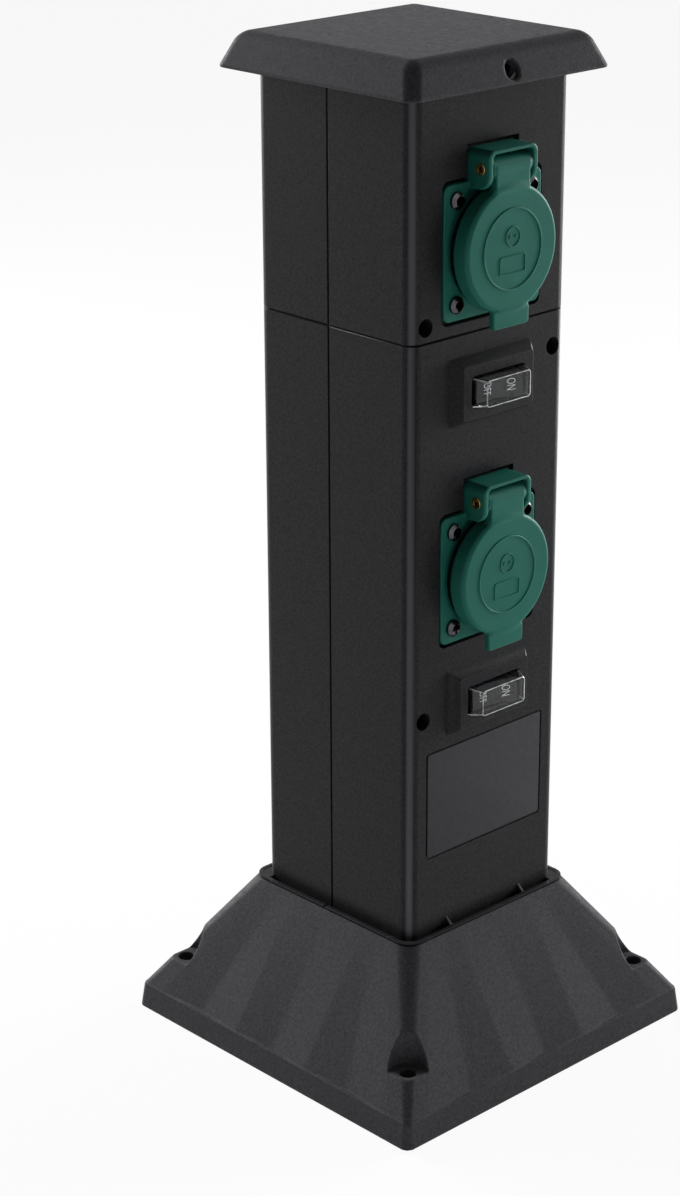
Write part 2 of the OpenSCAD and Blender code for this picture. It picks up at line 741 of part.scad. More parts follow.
module base() {
  inlet_r = inlet_d / 2;
  color(BLACK) difference() {
    union() {
      base_outside();
      rod_y(inlet_r, inlet_y - inlet_len, inlet_y, 0, inlet_z);
    }
    difference() {
      base_inside();
      corners(fix_pitch / 2, fix_pitch / 2) rod(column_d / 2, -over, pocket_z + column_d);
      rod_y(inlet_r, inlet_y - inlet_len, inlet_y, 0, inlet_z);
    }
    corners(fix_pitch / 2, fix_pitch / 2) rod(pocket_d / 2, pocket_z, base_h);
    corners(fix_pitch / 2, fix_pitch / 2) rod(fix_d / 2, -over, pocket_z + over);
    slab(recess_w, recess_w, base_top_r - shadow_in, foot_z, base_h + over);
    corners(boss_x, base_screw_y) rod(pass_r, roof_z - over, foot_z + over);
    rod(cable_d / 2, roof_z - over, foot_z + over);
    rod_y(grommet_d / 2 + thread_fit, inlet_y - inlet_len - over, inlet_y + over, 0, inlet_z);
  }
}

module base_screws() {
  color(STEEL) corners(boss_x, base_screw_y) translate([0, 0, roof_z]) mirror([0, 0, 1])
    pan_screw(screw_d, screw_head_d, screw_head_h, base_screw_l);
}

module cable_grommet() {
  inner_y = inlet_y - inlet_len;
  color(RUBBER) difference() {
    union() {
      rod_y(grommet_d / 2, inner_y, inlet_y, 0, inlet_z);
      rod_y(grommet_rim_d / 2, inlet_y, inlet_y + grommet_rim_t, 0, inlet_z);
      rod_y(grommet_rim_d / 2, inner_y - grommet_rim_t, inner_y, 0, inlet_z);
    }
    rod_y(grommet_bore / 2, inner_y - grommet_rim_t - over, inlet_y + grommet_rim_t + over, 0, inlet_z);
  }
}

// The column's shells

module front_half() {
  intersection() {
    children();
    bar([-base_w, -base_w, 0], [base_w, part_y, total_h]);
  }
}

module rear_half() {
  intersection() {
    children();
    bar([-base_w, part_y, 0], [base_w, base_w, total_h]);
  }
}

module post_walls(z0, z1) {
  difference() {
    slab(post_w, post_w, post_r, z0, z1);
    slab(inner_w, inner_w, inner_r, z0 - over, z1 + over);
  }
}

// The foot: a channel that sits in the base's top, with a lip whose rim covers the base's edge
module foot() {
  channel_w = lip_w - 2 * lip_t;
  difference() {
    union() {
      slab(lip_w, lip_w, lip_r, foot_z, lip_z);
      slab(foot_w, foot_w, foot_r, lip_z - lip_h, lip_z);
    }
    slab(channel_w, channel_w, lip_r - lip_t, foot_z + foot_t, lip_z + over);
    slab(inner_w, inner_w, inner_r, foot_z - over, lip_z + over);
  }
}

// The small ribs between the foot's channel and the front wall
module foot_ribs() {
  rib_y = lip_w / 2 - lip_t / 2;
  wall_y = face_y - shell_wall / 2;
  for (sx = [-1, 1])
    translate([sx * rib_x - rib_t / 2, 0, 0]) rotate([90, 0, 90]) linear_extrude(rib_t)
      polygon([[-wall_y, foot_z], [-wall_y, foot_z + rib_h], [-face_y, foot_z + rib_h],
        [-rib_y, lip_z - rib_under], [-rib_y, foot_z]]);
}

// The shadow groove in the rear shells' front edges
module upright_grooves() {
  for (sx = [-1, 1])
    bar([min(sx * (face_y - seam_deep), sx * base_w), part_y - over, 0],
      [max(sx * (face_y - seam_deep), sx * base_w), part_y + seam_w, total_h]);
}

// The shadow groove in the lower shells' top edges
module level_groove() {
  core_w = post_w - 2 * seam_deep;
  difference() {
    bar([-post_w, -post_w, seam_z - seam_w], [post_w, post_w, seam_z + over]);
    slab(core_w, core_w, post_r - seam_deep, seam_z - seam_w - over, seam_z + 2 * over);
  }
}

// The spigot that hangs from the upper shells into the lower ones
module spigot() {
  out_w = inner_w - 2 * fit;
  in_w = out_w - 2 * spigot_wall;
  difference() {
    union() {
      slab(out_w, out_w, inner_r, seam_z - spigot_h, seam_z + spigot_ledge);
      slab(inner_w + shell_wall, inner_w + shell_wall, inner_r, seam_z, seam_z + spigot_ledge);
    }
    slab(in_w, in_w, inner_r, seam_z - spigot_h - over, seam_z + spigot_ledge + over);
  }
}

// Where the shell screws go, as [x, z]
UPPER_SCREWS = [[-boss_x, seam_z + hole_over_seam], [boss_x, top_z - hole_under_top]];
LOWER_SCREWS = [[boss_x, seam_z - hole_under_seam], [-boss_x, lower_switch_z - hole_under_switch]];
seat_y = part_y - seat_in;

module front_bosses(places) {
  for (p = places) rod_y(boss_d / 2, -face_y + shell_wall / 2, part_y, p[0], p[1]);
}

module front_boss_holes(places) {
  for (p = places) {
    rod_y(well_d / 2, -face_y - over, seat_y, p[0], p[1]);
    rod_y(pass_r, seat_y - over, part_y + over, p[0], p[1]);
  }
}

module rear_bosses(places) {
  for (p = places) rod_y(boss_d / 2, part_y, face_y - shell_wall / 2, p[0], p[1]);
}

module rear_boss_holes(places) {
  for (p = places) rod_y(thread_r, part_y - over, seat_y + shell_screw_l + over, p[0], p[1]);
}

// Bosses that take the base screws, for the front (-1) or the rear (1)
module foot_bosses(side) {
  for (sx = [-1, 1])
    translate([sx * boss_x, side * base_screw_y, 0]) rod(boss_d / 2, foot_z, foot_z + foot_boss_h);
}

module foot_boss_holes(side) {
  for (sx = [-1, 1])
    translate([sx * boss_x, side * base_screw_y, 0]) rod(thread_r, foot_z - over, foot_z + base_screw_l);
}

// The boss behind the front or the rear wall that takes a cap screw
module cap_boss(side) {
  y0 = side * (face_y - shell_wall / 2);
  y1 = side * (inner_w / 2 - cap_boss_l);
  rod_y(cap_boss_d / 2, min(y0, y1), max(y0, y1), 0, cap_z + cap_screw_up);
}

module cap_boss_hole(side) {
  y0 = side * (face_y + over);
  y1 = side * (inner_w / 2 - cap_boss_l + over);
  rod_y(thread_r, min(y0, y1), max(y0, y1), 0, cap_z + cap_screw_up);
}

// The outline of the socket's flange and hood, grown by a side and an end amount
module socket_outline(side, end) {
  plate(flange_w + 2 * side, flange_w + 2 * end, flange_r);
  translate([0, (hood_top + end) / 2]) square([hood_w + 2 * side, hood_top + end], center = true);
}

// What a socket adds to the inside of its shell
module socket_pad() {
  wall = shell_wall;
  translate([0, 0, -recess_deep - recess_floor]) linear_extrude(recess_deep + recess_floor - wall / 2)
    socket_outline(recess_side + wall, recess_end + wall);
  corners(flange_pitch / 2, flange_pitch / 2)
    rod(flange_screw_d, -recess_deep - flange_boss, -wall / 2);
}

// What a socket takes out of its shell
module socket_cut() {
  translate([0, 0, -recess_deep]) linear_extrude(recess_deep + over) socket_outline(recess_side, recess_end);
  rod(insert_d / 2 + fit, -recess_deep - recess_floor - flange_boss, 0);
  corners(flange_pitch / 2, flange_pitch / 2)
    rod(flange_screw_d / 2 + thread_fit, -recess_deep - flange_boss + over, 0);
}

// What a switch adds to the outside of its shell
module plinth() {
  sink = shell_wall / 2;
  skin([round_ring(plinth_w, plinth_h, plinth_r, -sink), round_ring(plinth_w, plinth_h, plinth_r, 0),
    round_ring(plinth_front_w, plinth_front_h, plinth_r, plinth_out)]);
}

// What a switch takes out of its shell, with lugs left to hold the switch's flange
module plinth_cut() {
  room_w = switch_flange_w + 2 * fit;
  room_h = switch_flange_h + 2 * fit;
  lug_y = switch_flange_h / 2 - switch_lug;
  lug_x = switch_lug_w / 2;
  lug_z = cover_back - switch_flange_t - fit;
  difference() {
    bar([-room_w / 2, -room_h / 2, -shell_wall - over], [room_w / 2, room_h / 2, plinth_back]);
    for (sy = [-1, 1])
      bar([-lug_x, min(sy * lug_y, sy * room_h), -shell_wall], [lug_x, max(sy * lug_y, sy * room_h), lug_z]);
  }
  slab(cover_w + 2 * fit, cover_h + 2 * fit, cover_r, plinth_back - over, plinth_out + over);
}

// The groove around the label panel
module label_cut() {
  mid_z = label_z + label_h / 2;
  on_face(mid_z) difference() {
    slab(label_w, label_h, label_r, -label_deep, over);
    slab(label_w - 2 * label_line, label_h - 2 * label_line, label_r - label_line,
      -label_deep - over, 2 * over);
  }
}

module lower_front_shell() {
  color(BLACK) difference() {
    union() {
      front_half() {
        post_walls(foot_z, seam_z);
        foot();
      }
      foot_ribs();
      foot_bosses(-1);
      front_bosses(LOWER_SCREWS);
      on_face(lower_socket_z) socket_pad();
      on_face(lower_switch_z) plinth();
      on_face(upper_switch_z) plinth();
    }
    foot_boss_holes(-1);
    front_boss_holes(LOWER_SCREWS);
    on_face(lower_socket_z) socket_cut();
    on_face(lower_switch_z) plinth_cut();
    on_face(upper_switch_z) plinth_cut();
    label_cut();
    level_groove();
  }
}

module lower_rear_shell() {
  color(BLACK) difference() {
    union() {
      rear_half() {
        post_walls(foot_z, seam_z);
        foot();
      }
      foot_bosses(1);
      rear_bosses(LOWER_SCREWS);
      on_rear(block_z) for (sx = [-1, 1])
        translate([sx * pole_pitch / 2, 0, 0]) rod(standoff_d / 2, -shell_wall / 2, block_off);
    }
    foot_boss_holes(1);
    rear_boss_holes(LOWER_SCREWS);
    on_rear(block_z) for (sx = [-1, 1])
      translate([sx * pole_pitch / 2, 0, 0]) rod(grub_d / 2 + thread_fit, -shell_wall / 2, block_off + over);
    upright_grooves();
    level_groove();
  }
}

module upper_front_shell() {
  color(BLACK) difference() {
    union() {
      front_half() {
        post_walls(seam_z, top_z);
        spigot();
      }
      front_bosses(UPPER_SCREWS);
      cap_boss(-1);
      on_face(upper_socket_z) socket_pad();
    }
    front_boss_holes(UPPER_SCREWS);
    cap_boss_hole(-1);
    on_face(upper_socket_z) socket_cut();
  }
}

module upper_rear_shell() {
  color(BLACK) difference() {
    union() {
      rear_half() {
        post_walls(seam_z, top_z);
        spigot();
      }
      rear_bosses(UPPER_SCREWS);
      cap_boss(1);
    }
    rear_boss_holes(UPPER_SCREWS);
    cap_boss_hole(1);
    upright_grooves();
  }
}

module shell_screws() {
  color(STEEL) for (p = concat(LOWER_SCREWS, UPPER_SCREWS))
    translate([p[0], seat_y, p[1]]) rotate([90, 0, 0])
      pan_screw(screw_d, screw_head_d, screw_head_h, shell_screw_l);
}

// The cap

cap_half = cap_w / 2;
cap_slope = atan(cap_lean / (cap_h - cap_band));
edge_z = total_h - cap_edge_r;
edge_half = cap_half - (edge_z - cap_z - cap_band) * tan(cap_slope) - cap_edge_r / cos(cap_slope);
cap_seat_y = face_y + cap_seat;

module cap_outside() {
  steps = 5;
  skin(concat(
    [for (z = [cap_z, cap_z + cap_band]) round_ring(cap_w, cap_w, cap_r, z)],
    [for (i = [0:steps])
      let (a = cap_slope + (90 - cap_slope) * i / steps, half = edge_half + cap_edge_r * cos(a))
      round_ring(2 * half, 2 * half, cap_r, edge_z + cap_edge_r * sin(a))]));
}

module cap_inside() {
  rim_w = cap_w - 2 * cap_wall;
  under_w = rim_w - 2 * (top_z - cap_z - cap_band) * tan(cap_slope);
  skin([round_ring(rim_w, rim_w, cap_r, cap_z - over), round_ring(rim_w, rim_w, cap_r, cap_z + cap_band),
    round_ring(under_w, under_w, cap_r, top_z)]);
}

module cap() {
  screw_z = cap_z + cap_screw_up;
  boss_end = cap_half - cap_lean + cap_wall / 2;
  color(BLACK) difference() {
    union() {
      difference() {
        cap_outside();
        cap_inside();
      }
      rod_y(cap_boss_d / 2, face_y, boss_end, 0, screw_z);
      rod_y(cap_boss_d / 2, -boss_end, -face_y, 0, screw_z);
    }
    rod_y(well_d / 2, cap_seat_y, cap_half + over, 0, screw_z);
    rod_y(well_d / 2, -cap_half - over, -cap_seat_y, 0, screw_z);
    rod_y(pass_r, face_y - over, cap_half, 0, screw_z);
    rod_y(pass_r, -cap_half, -face_y + over, 0, screw_z);
  }
}

module cap_screws() {
  color(STEEL) for (side = [0, 180])
    rotate(side) translate([0, -cap_seat_y, cap_z + cap_screw_up]) rotate([90, 0, 0])
      pan_screw(screw_d, screw_head_d, screw_head_h, cap_screw_l);
}

// A socket

module socket_gasket(z) {
  rim_r = rim_d / 2 + fit;
  color(RUBBER) on_face(z) difference() {
    translate([0, 0, -recess_deep]) linear_extrude(gasket_t) socket_outline(0, 0);
    rod(rim_r, -recess_deep - over, flange_back + over);
    corners(flange_pitch / 2, flange_pitch / 2) rod(flange_screw_d / 2 + fit, -recess_deep - over, 0);
  }
}

// The hood's outline seen from the front, with rounded upper corners
module hood_front() {
  translate([-hood_w / 2, cheek_low]) square([hood_w, hood_top - hood_r - cheek_low]);
  translate([-hood_w / 2 + hood_r, cheek_low]) square([hood_w - 2 * hood_r, hood_top - cheek_low]);
  for (sx = [-1, 1]) translate([sx * (hood_w / 2 - hood_r), hood_top - hood_r]) circle(hood_r);
}

// The flange's outline under the hood, with the hood's rounded upper corners
module frame_outline() {
  plate(flange_w, flange_w, flange_r);
  hood_front();
}

// The piece to cut away so that the cheeks' lower front corners are round
module cheek_corner() {
  difference() {
    along_x(-hood_w, hood_w) translate([lid_front - cheek_r, cheek_low - over])
      square([cheek_r + over, cheek_r + over]);
    rod_x(cheek_r, -hood_w - over, hood_w + over, cheek_low + cheek_r, lid_front - cheek_r);
  }
}

lug_low = hinge_up - leg_lug - fit;
lug_out = hinge_out - coil_r + leg_hole;
coil_w = (coil_turns + 0.5) * coil_pitch;

module socket_frame(z) {
  color(GREEN) on_face(z) difference() {
    union() {
      translate([0, 0, flange_back]) linear_extrude(flange_t) frame_outline();
      difference() {
        translate([0, 0, flange_back]) linear_extrude(lid_front - flange_back) hood_front();
        bar([-hood_in / 2, 0, flange_proud], [hood_in / 2, hood_top - roof_t, lid_front + over]);
        cheek_corner();
      }
      bar([-coil_w / 2 - lug_w / 2, lug_low, flange_back],
        [-coil_w / 2 + lug_w / 2, lug_low + lug_h, lug_out]);
    }
    rod(collar_d / 2 + fit, flange_back - over, flange_proud + over);
    corners(flange_pitch / 2, flange_pitch / 2) rod(flange_screw_d / 2 + fit, flange_back - over, over);
    rod_x(hinge_d / 2 + thread_fit, -hood_w, hood_w, hinge_up, hinge_out);
    rod_y(leg_hole / 2, lug_low - over, lug_low + lug_h + over, -coil_w / 2, hinge_out - coil_r);
  }
}

module socket_insert(z) {
  slot_x = earth_w / 2 + fit;
  slot_y = earth_arm_y + fit;
  slot_in = earth_arm_y - earth_t - 2 * fit;
  guide_y = well_in_d / 2 - guide_h;
  wall_y = well_in_d / 2 + collar_wall / 2;
  color(RUBBER) on_face(z) difference() {
    union() {
      difference() {
        union() {
          rod(insert_d / 2, -insert_deep, -recess_deep);
          rod(rim_d / 2, -recess_deep, flange_back);
          rod(collar_d / 2, -recess_deep, collar_out);
        }
        rod(well_in_d / 2, well_bottom, collar_out + over);
      }
      for (sx = [-1, 1])
        bar([min(sx * guide_y, sx * wall_y), -guide_w / 2, well_bottom - over],
          [max(sx * guide_y, sx * wall_y), guide_w / 2, collar_out - guide_in]);
    }
    for (sx = [-1, 1]) translate([sx * pin_pitch / 2, 0, 0]) {
      rod(pin_hole_d / 2, -insert_deep, well_bottom + over);
      rod(contact_d / 2 + fit, -insert_deep - over, sleeve_front);
    }
    bar([-slot_x, -slot_y, -insert_deep - over], [slot_x, slot_y, earth_back + earth_t]);
    for (sy = [-1, 1])
      bar([-slot_x, min(sy * slot_y, sy * slot_in), -insert_deep],
        [slot_x, max(sy * slot_y, sy * slot_in), well_bottom + over]);
  }
}

module socket_contacts(z) {
  color(BRASS) on_face(z) for (sx = [-1, 1]) translate([sx * pin_pitch / 2, 0, 0]) difference() {
    rod(contact_d / 2, sleeve_back, sleeve_front);
    rod(contact_bore / 2, sleeve_back + contact_end, sleeve_front + over);
  }
}

// The sprung earth strap: a U whose arms bulge into the well
module earth_clip(z) {
  arm_y = earth_arm_y;
  nose_y = arm_y - earth_nose;
  tip_y = arm_y - earth_lean;
  tip = collar_out - earth_tip;
  nose = collar_out - earth_mid;
  root = collar_out - earth_root;
  color(BRASS) on_face(z) along_x(-earth_w / 2, earth_w / 2) {
    translate([earth_back, -arm_y]) square([earth_t, 2 * arm_y]);
    for (flip = [0, 1]) mirror([0, flip])
      polygon([[earth_back, arm_y], [root, arm_y], [nose, nose_y], [tip, tip_y],
        [tip, tip_y - earth_t], [nose, nose_y - earth_t], [root, arm_y - earth_t],
        [earth_back, arm_y - earth_t]]);
  }
}

module socket_screws(z) {
  color(STEEL) on_face(z) corners(flange_pitch / 2, flange_pitch / 2) translate([0, 0, flange_proud])
    pan_screw(flange_screw_d, flange_head_d, flange_head_h, flange_screw_l);
}

// The lid's disc with its skirt and rounded front edge
module lid_disc() {
  r = lid_d / 2;
  rotate_extrude() difference() {
    union() {
      translate([0, lid_back]) square([r, lid_front - lid_edge_r - lid_back]);
      translate([0, lid_back]) square([r - lid_edge_r, lid_front - lid_back]);
      translate([r - lid_edge_r, lid_front - lid_edge_r]) circle(lid_edge_r);
    }
    translate([-over, lid_back - over]) square([skirt_in_r + over, lid_under - lid_back + over]);
    translate([-r, lid_back]) square([r, lid_front]);
  }
}

// The finger tab at the lid's lower edge
module lid_tab() {
  tab_top = -lid_d / 2 + lid_wall;
  half = tab_w / 2;
  low = -tab_down;
  translate([0, 0, lid_front - tab_t]) linear_extrude(tab_t) {
    translate([-half, low + tab_r]) square([tab_w, tab_top + tab_w / 2 - low - tab_r]);
    translate([-half + tab_r, low]) square([tab_w - 2 * tab_r, tab_r + over]);
    for (sx = [-1, 1]) translate([sx * (half - tab_r), low + tab_r]) circle(tab_r);
  }
}

module lid(z) {
  barrel_w = hood_in - 2 * fit;
  pocket_w = coil_w + wire_d + 2 * fit;
  pocket_r = coil_r + wire_d / 2 + fit + turn_fit;
  color(GREEN) on_face(z) difference() {
    union() {
      lid_disc();
      rotate_extrude() translate([ring_d / 2 - ring_w / 2, lid_under]) square([ring_w, lid_t + ring_h]);
      difference() {
        lid_tab();
        rod(skirt_in_r, 0, lid_under);
      }
      bar([-arm_w / 2, skirt_in_r - lid_edge_r, lid_under], [arm_w / 2, hinge_up, lid_front]);
      bar([-arm_w / 2, lid_d / 2 - lid_wall / 2, lid_front - arm_t], [arm_w / 2, hinge_up, lid_front]);
      rod_x(barrel_r, -barrel_w / 2, barrel_w / 2, hinge_up, hinge_out);
    }
    rod_x(hinge_d / 2 + turn_fit, -hood_w, hood_w, hinge_up, hinge_out);
    rod_x(pocket_r, -pocket_w / 2, pocket_w / 2, hinge_up, hinge_out);
    bar([-pocket_w / 2, hinge_up - barrel_r - over, 0],
      [pocket_w / 2, hinge_up + barrel_r + over, hinge_out - wire_d / 2]);
    rod_y(leg_hole / 2, hinge_up - leg_lid - fit, hinge_up, coil_w / 2, hinge_out + coil_r);
  }
}

module lid_seal(z) {
  color(RUBBER) on_face(z) difference() {
    rod(seal_out_r, collar_out + rest_gap, lid_under);
    rod(seal_out_r - seal_w, collar_out, lid_under + over);
  }
}

module hinge_pin(z) {
  half = hood_w / 2;
  color(BRASS) on_face(z) difference() {
    union() {
      rod_x(hinge_d / 2, -half, half, hinge_up, hinge_out);
      rod_x(hinge_head_d / 2, half, half + hinge_head_t, hinge_up, hinge_out);
      rod_x(hinge_head_d / 2, -half - hinge_head_t, -half, hinge_up, hinge_out);
    }
    rod_x(hinge_bore / 2, -half - hinge_head_t - over, half + hinge_head_t + over, hinge_up, hinge_out);
  }
}

// The lid's torsion spring as [place, direction] points: up the fixed leg behind the pin,
// round the coil, and down the moving leg in front of the pin
function spring_at(turn) =
  let (a = 180 - 360 * turn)
  [[-coil_w / 2 + coil_pitch * turn, hinge_up + coil_r * sin(a), hinge_out + coil_r * cos(a)],
    unit([coil_pitch, -2 * PI * coil_r * cos(a), 2 * PI * coil_r * sin(a)])];
SPRING_STEPS = 8 * (coil_turns + 0.5);
SPRING_PATH = concat(
  [for (down = [leg_lug, leg_lug / 2]) [[-coil_w / 2, hinge_up - down, hinge_out - coil_r], [0, 1, 0]]],
  [for (i = [0:SPRING_STEPS]) spring_at(i / 8)],
  [for (down = [leg_lid / 2, leg_lid]) [[coil_w / 2, hinge_up - down, hinge_out + coil_r], [0, -1, 0]]]);
spring_gap = min([for (i = [0:len(SPRING_PATH) - 1]) for (j = [i + 5:1:len(SPRING_PATH) - 1])
  norm(SPRING_PATH[i][0] - SPRING_PATH[j][0])]) - wire_d;
echo(spring_gap = spring_gap);

module lid_spring(z) {
  color(STEEL) on_face(z) skin([for (at = SPRING_PATH) tube_ring(at, wire_d / 2, 6)]);
}

// A switch

module switch_body(z) {
  room_w = switch_w - 2 * switch_wall;
  room_h = switch_h - 2 * switch_wall;
  slot_x = blade_t / 2 + fit / 3;
  slot_y = blade_w / 2 + fit / 3;
  color(RUBBER) on_face(z) difference() {
    union() {
      slab(switch_flange_w, switch_flange_h, cover_r, cover_back - switch_flange_t, cover_back);
      slab(switch_w, switch_h, cover_r, -switch_deep, cover_back);
    }
    bar([-room_w / 2, -room_h / 2, -switch_room], [room_w / 2, room_h / 2, cover_back + over]);
    rod_y(axle_d / 2 + turn_fit, -switch_h, switch_h, 0, -rocker_in);
    for (x = [0, blade_x])
      bar([x - slot_x, -slot_y, -switch_deep - over], [x + slot_x, slot_y, -switch_room + over]);
  }
}

// The rocker, at rest with its OFF half pressed in
module rocker(z) {
  half_h = switch_h / 2 - switch_wall - fit;
  end_up = rocker_up + rocker_l * tan(rocker_tilt);
  color(RUBBER) on_face(z) translate([0, 0, -rocker_in]) rotate([0, -rocker_tilt, 0]) {
    rotate([90, 0, 0]) translate([0, 0, -half_h]) linear_extrude(2 * half_h)
      polygon([[-rocker_l, end_up], [-rocker_l + rocker_taper, end_up / 2], [-rocker_foot, -rocker_down],
        [rocker_foot, -rocker_down], [rocker_l - rocker_taper, end_up / 2], [rocker_l, end_up],
        [0, rocker_up]]);
    rod_y(axle_d / 2, -switch_h / 2 + rest_gap, switch_h / 2 - rest_gap, 0, 0);
  }
}

module contact_bridge(z) {
  color(BRASS) on_face(z) translate([0, 0, -rocker_in]) rotate([0, -rocker_tilt, 0])
    bar([-bridge_back, -bridge_w / 2, -bridge_low], [blade_x + bridge_over, bridge_w / 2, -rocker_down]);
}

module switch_terminals(z) {
  color(BRASS) on_face(z) {
    middle_top = -rocker_in - bridge_low - rest_gap;
    side_top = -rocker_in - contact_reach - rest_gap;
    bar([-blade_t / 2, -blade_w / 2, blade_end], [blade_t / 2, blade_w / 2, middle_top]);
    bar([blade_x - blade_t / 2, -blade_w / 2, blade_end], [blade_x + blade_t / 2, blade_w / 2, side_top]);
    bar([-blade_t, -blade_w / 2, -switch_room], [blade_t, blade_w / 2, -switch_room + blade_t]);
    bar([blade_x - blade_t, -blade_w / 2, -switch_room],
      [blade_x + blade_t, blade_w / 2, -switch_room + blade_t]);
  }
}

module switch_cover(z) {
  inner = 2 * cover_wall;
  color(CLEAR) on_face(z) difference() {
    union() {
      slab(switch_flange_w, switch_flange_h, cover_r, cover_back, plinth_back);
      skin([round_ring(cover_w, cover_h, cover_r, plinth_back - cover_rim_t / 2),
        round_ring(cover_w, cover_h, cover_r, plinth_out),
        round_ring(cover_front_w, cover_front_h, cover_r, cover_front - cover_wall / 2),
        round_ring(cover_front_w - cover_wall, cover_front_h - cover_wall, cover_r, cover_front)]);
    }
    skin([round_ring(cover_w - inner, cover_h - inner, cover_r - cover_wall, cover_back - over),
      round_ring(cover_w - inner, cover_h - inner, cover_r - cover_wall, plinth_out),
      round_ring(cover_front_w - inner, cover_front_h - inner, cover_r - cover_wall,
        cover_front - cover_wall)]);
  }
}

// Wiring

module poles() {
  for (p = [-1, 0, 1]) translate([p * pole_pitch, 0, pole_out]) children();
}

module terminal_block() {
  half_h = block_h / 2;
  color(NYLON) on_rear(block_z) difference() {
    slab(block_w, block_h, block_r, block_off, block_off + block_d);
    poles() rod_y(clamp_d / 2 + fit / 3, -half_h - over, half_h + over, 0, 0);
    poles() for (sy = [-1, 1]) translate([0, sy * block_h / 4, 0]) rod(grub_d / 2 + fit, 0, block_d);
    for (sx = [-1, 1]) translate([sx * pole_pitch / 2, 0, 0]) {
      rod(grub_d / 2 + fit / 3, block_off - over, block_off + block_d + over);
      rod(block_head_d / 2 + fit, block_off + block_d - block_seat, block_off + block_d + over);
    }
  }
}

module terminal_clamps() {
  color(BRASS) on_rear(block_z) poles() difference() {
    rod_y(clamp_d / 2, -core_top, core_top, 0, 0);
    rod_y(clamp_bore / 2, -block_h, block_h, 0, 0);
    for (sy = [-1, 1]) translate([0, sy * block_h / 4, 0]) rod(grub_d / 2 + thread_fit, 0, block_d);
  }
}

module terminal_screws() {
  block_screw = block_off + block_d - block_seat;
  grub_end = block_d / 2 - grub_in;
  color(STEEL) on_rear(block_z) {
    poles() for (sy = [-1, 1]) translate([0, sy * block_h / 4, 0]) difference() {
      rod(grub_d / 2, clamp_bore / 2 - grub_bite, grub_end);
      bar([-grub_d, -grub_slot / 2, grub_end - grub_slot_deep], [grub_d, grub_slot / 2, block_d]);
    }
    for (sx = [-1, 1]) translate([sx * pole_pitch / 2, 0, block_screw])
      pan_screw(grub_d, block_head_d, block_head_h, block_screw + shell_wall / 4);
  }
}

// A smooth way from one place to another that leaves and arrives along given handles
function bend(p0, h0, h1, p1, t) =
  let (a = p0, b = p0 + h0, c = p1 + h1, d = p1, s = 1 - t)
  [s * s * s * a + 3 * s * s * t * b + 3 * s * t * t * c + t * t * t * d,
    unit(s * s * (b - a) + 2 * s * t * (c - b) + t * t * (d - c))];

module core(p0, h0, h1, p1, steps = 14) {
  skin([for (i = [0:steps]) tube_ring(bend(p0, h0, h1, p1, i / steps), core_d / 2, 8)]);
}

core_y = inner_w / 2 - pole_out;
function core_start(pole, side) = [pole * pole_pitch + side * core_gap / 2, core_y, block_z + core_top];
function contact_end_at(side, z) = [side * pin_pitch / 2, -face_y - sleeve_back, z];
function blade_end_at(x, z) = [x, -face_y - blade_end, z];

// The share of a wire's height that it rises before it turns to the front
CORE_RISE = 0.6;

// A wire from the terminal block up to a place on the front
module rising_core(pole, side, place) {
  rise = (place[2] - block_z) * CORE_RISE;
  core(core_start(pole, side), [0, 0, rise], [0, core_y - place[1] + core_slack, 0], place);
}

module live_wires() {
  loop = [0, core_loop, 0];
  color(BROWN) {
    rising_core(-1, -1, blade_end_at(0, lower_switch_z));
    rising_core(-1, 1, blade_end_at(0, upper_switch_z));
    core(blade_end_at(blade_x, lower_switch_z), loop, loop, contact_end_at(-1, lower_socket_z));
    core(blade_end_at(blade_x, upper_switch_z), loop, loop, contact_end_at(-1, upper_socket_z));
  }
}

module neutral_wires() {
  color(BLUE) {
    rising_core(1, -1, contact_end_at(1, lower_socket_z));
    rising_core(1, 1, contact_end_at(1, upper_socket_z));
  }
}

module earth_wires() {
  strap = -face_y - earth_back;
  color(EARTH) {
    rising_core(0, -1, [0, strap, lower_socket_z]);
    rising_core(0, 1, [0, strap, upper_socket_z]);
  }
}

// Drawing

base();
lower_front_shell();
lower_rear_shell();
upper_front_shell();
upper_rear_shell();
cap();
shell_screws();
base_screws();
cap_screws();
cable_grommet();
terminal_block();
terminal_clamps();
terminal_screws();
live_wires();
neutral_wires();
earth_wires();
for (lv = LEVELS) {
  socket_gasket(lv[1]);
  socket_frame(lv[1]);
  socket_insert(lv[1]);
  socket_contacts(lv[1]);
  earth_clip(lv[1]);
  socket_screws(lv[1]);
  lid(lv[1]);
  lid_seal(lv[1]);
  hinge_pin(lv[1]);
  lid_spring(lv[1]);
  switch_body(lv[2]);
  rocker(lv[2]);
  contact_bridge(lv[2]);
  switch_terminals(lv[2]);
  switch_cover(lv[2]);
}
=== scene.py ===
import itertools
import json
import math

import bmesh
import bpy
import numpy as np
from mathutils import Matrix, Vector

